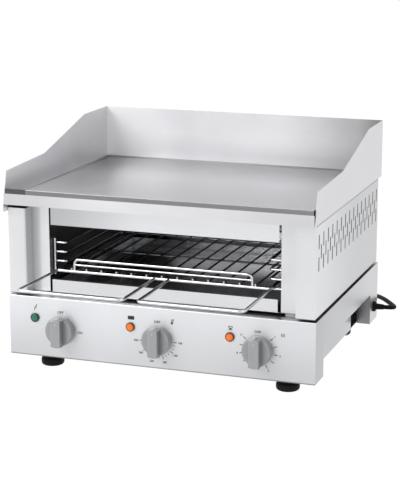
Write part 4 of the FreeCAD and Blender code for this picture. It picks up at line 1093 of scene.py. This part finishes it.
BOLT = Symbol(-0.2176, FOOT + 0.0840, (
    (0.0013, 0.0025, 0.0013, 0.0058, 22.0), (0.0, 0.0, 0.0036, 0.0014, -20.0),
    (-0.0013, -0.0025, 0.0013, 0.0052, 22.0)))
HOT_PLATE = Symbol(-0.0465, FOOT + 0.0818, ((0.0, 0.0, 0.0112, 0.0062, 0.0),))
THERMOMETER = Symbol(0.0247, FOOT + 0.0813, (
    (0.0, -0.0022, 0.0036, 0.0036, 0.0), (0.0, 0.0014, 0.0017, 0.0058, 0.0),
    *((0.0026, rise, 0.0020, 0.0008, 0.0) for rise in (0.0010, 0.0027, 0.0044))))
BREAD = Symbol(0.1242, FOOT + 0.0809, (
    *((0.0, rise, 0.0068, 0.0010, 0.0) for rise in (0.0028, 0.0, -0.0028)),
    *((side, 0.0014, 0.0010, 0.0028, 0.0) for side in (-0.0030, 0.0030)),
    (0.0, -0.0014, 0.0036, 0.0014, 0.0)))
HEAT_WAVES = Symbol(0.2115, FOOT + 0.0770, tuple(
    (shift, side * 0.0013, 0.0010, 0.0030, side * 18.0) for shift in (-0.0022, 0.0, 0.0022) for side in (1, -1)))


@dataclass(frozen=True)
class Tick:
    """Tick that points at a knob's middle, from an inner to an outer distance from there."""

    inner: float
    outer: float
    width: float


@dataclass(frozen=True)
class PanelPrint:
    """Numbers, ticks and plain symbols printed round the knobs and over the lamps.

    Places are measured from a knob's middle along X and Z. Angles are in degrees, clockwise from the top. Rings
    are the distances of the numbers from a knob's middle. Each of the timer's numbers follows its tick's place.
    """

    ink_height: float = 0.00006
    text_size: float = 0.0062
    small_text: float = 0.0050
    on_scale: float = 1.12
    bold: float = 0.00014
    off_place: tuple[float, float] = (-0.0012, 0.0300)
    on_place: tuple[float, float] = (0.0335, -0.0015)
    heat_numbers: tuple[str, ...] = ("100", "140", "180", "220", "260", "300")
    heat_angles: tuple[float, ...] = (93.0, 128.0, 163.0, 197.0, 231.0, 264.0)
    heat_ring: float = 0.0385
    long_tick: Tick = Tick(0.0275, 0.0330, 0.0012)
    short_tick: Tick = Tick(0.0280, 0.0305, 0.0010)
    time_numbers: tuple[tuple[int, str], ...] = ((0, "1"), (2, "3"), (4, "5"), (8, "9"), (10, "11"))
    time_first: float = 48.0
    time_step: float = 26.1
    time_ticks: int = 11
    time_ring: float = 0.0365
    time_tick: Tick = Tick(0.0265, 0.0325, 0.0012)
    symbols: tuple[Symbol, ...] = (BOLT, HOT_PLATE, THERMOMETER, BREAD, HEAT_WAVES)

    def build(self, finishes: Finishes) -> None:
        """Print every mark.

        Args:
            finishes: Materials.
        """
        ink = finishes.get(PRINT_INK)
        power, heat, time = KNOB_PLACES.values()
        shape = bmesh.new()
        self._ticks(shape, heat, time)
        for symbol in self.symbols:
            for right, up, width, height, turn in symbol.strokes:
                self._mark(shape, symbol.x + right, symbol.z + up, width, height, turn)
        place_mesh("panel_marks", shape, ink, "appliance")
        for x in KNOB_PLACES.values():
            self._text("OFF", x + self.off_place[0], KNOB_HEIGHT + self.off_place[1], self.text_size, ink)
        self._text("ON", power + self.on_place[0], KNOB_HEIGHT + self.on_place[1], self.on_scale * self.small_text,
                   ink)
        for word, angle in zip(self.heat_numbers, self.heat_angles):
            self._text(word, *self._ring(heat, angle, self.heat_ring), self.small_text, ink)
        for step, word in self.time_numbers:
            self._text(word, *self._ring(time, self._time_angle(step), self.time_ring), self.small_text, ink)

    def _time_angle(self, step: int) -> float:
        """Give the angle of a tick of the timer, in degrees from the top."""
        return self.time_first + self.time_step * step

    def _ring(self, x: float, angle: float, radius: float) -> tuple[float, float]:
        """Give the place at an angle from the top, clockwise, round a knob."""
        turn = math.radians(angle)
        return x + radius * math.sin(turn), KNOB_HEIGHT + radius * math.cos(turn)

    def _mark(self, shape: bmesh.types.BMesh, x: float, z: float, width: float, height: float,
              turn: float) -> None:
        """Add a flat stroke on the panel, turned clockwise by an angle in degrees."""
        middle = Vector((x, FRONT - self.ink_height / 2, z))
        add_block(shape, middle, (width, self.ink_height, height), math.radians(turn))

    def _tick(self, shape: bmesh.types.BMesh, x: float, angle: float, tick: Tick) -> None:
        """Add a tick at an angle from the top, clockwise, round a knob."""
        tick_x, tick_z = self._ring(x, angle, (tick.inner + tick.outer) / 2)
        self._mark(shape, tick_x, tick_z, tick.width, tick.outer - tick.inner, angle)

    def _ticks(self, shape: bmesh.types.BMesh, heat: float, time: float) -> None:
        """Add the thermostat's ticks, two short ones between its numbers, and the timer's ticks."""
        for angle in self.heat_angles:
            self._tick(shape, heat, angle, self.long_tick)
        for first, last in zip(self.heat_angles, self.heat_angles[1:]):
            for share in (1 / 3, 2 / 3):
                self._tick(shape, heat, first + (last - first) * share, self.short_tick)
        for step in range(self.time_ticks):
            self._tick(shape, time, self._time_angle(step), self.time_tick)

    def _text(self, word: str, x: float, z: float, size: float, ink: bpy.types.Material) -> None:
        """Print a word or number on the panel.

        Args:
            word: What is printed.
            x: Its middle on the panel.
            z: Its middle on the panel.
            size: Height of its letters.
            ink: Material.
        """
        data = bpy.data.curves.new("print", "FONT")
        data.body = word
        data.size = size
        data.align_x = "CENTER"
        data.align_y = "CENTER"
        data.extrude = self.ink_height / 2
        data.offset = self.bold
        data.resolution_u = 3
        letters = bpy.data.objects.new("print", data)
        mesh = bpy.data.meshes.new_from_object(letters)
        bpy.data.objects.remove(letters)
        shape = bmesh.new()
        shape.from_mesh(mesh)
        bpy.data.meshes.remove(mesh)
        bmesh.ops.remove_doubles(shape, verts=shape.verts, dist=1e-7)
        bmesh.ops.rotate(shape, cent=Vector(), matrix=Matrix.Rotation(math.radians(90), 3, "X"), verts=shape.verts)
        bmesh.ops.translate(shape, vec=Vector((x, FRONT - self.ink_height / 2, z)), verts=shape.verts)
        label = "print_%s_%d_%d" % (word, round(1000 * x) % 1000, round(1000 * z))
        place_mesh(label, shape, ink, "appliance")


@dataclass(frozen=True)
class KnobMarks:
    """Painted pointer dot on the grip of each knob.

    Attributes:
        rise: Distance from the knob's middle up to the dot.
        dot: Radius of the dot.
        paint: Thickness of the paint.
        outset: Distance from the grip out to the middle of the paint.
    """

    rise: float = 0.0165
    dot: float = 0.0009
    paint: float = 0.0002
    outset: float = 0.00004

    def build(self, finishes: Finishes) -> None:
        """Lay the pointers.

        Args:
            finishes: Materials.
        """
        for body, x in KNOB_PLACES.items():
            shape = bmesh.new()
            middle = Vector((x, GRIP_FRONT - self.outset, KNOB_HEIGHT + self.rise))
            flat = Matrix.Translation(middle) @ Matrix.Rotation(math.radians(90), 4, "X")
            bmesh.ops.create_cone(shape, cap_ends=True, segments=16, radius1=self.dot, radius2=self.dot,
                                  depth=self.paint, matrix=flat)
            place_mesh(body + "_pointer", shape, finishes.get(POINTER_PAINT), body)


def main() -> None:
    """Build the studio and dress the appliance."""
    logging.basicConfig(level=logging.INFO, format="%(message)s")
    bpy.context.scene.view_settings.view_transform = "Standard"
    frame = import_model()
    nodes = frame["nodes"]
    finishes = Finishes()
    StudioCamera().build()
    LOG.info("camera placed")
    SupplyCord().build(finishes, nodes)
    LOG.info("supply cord laid")
    Studio().build()
    LOG.info("studio lit")
    finishes.dress(nodes)
    LOG.info("frame dressed")
    PanelPrint().build(finishes)
    LOG.info("panel printed")
    KnobMarks().build(finishes)
    LOG.info("knobs marked")


if __name__ == "__main__":
    main()
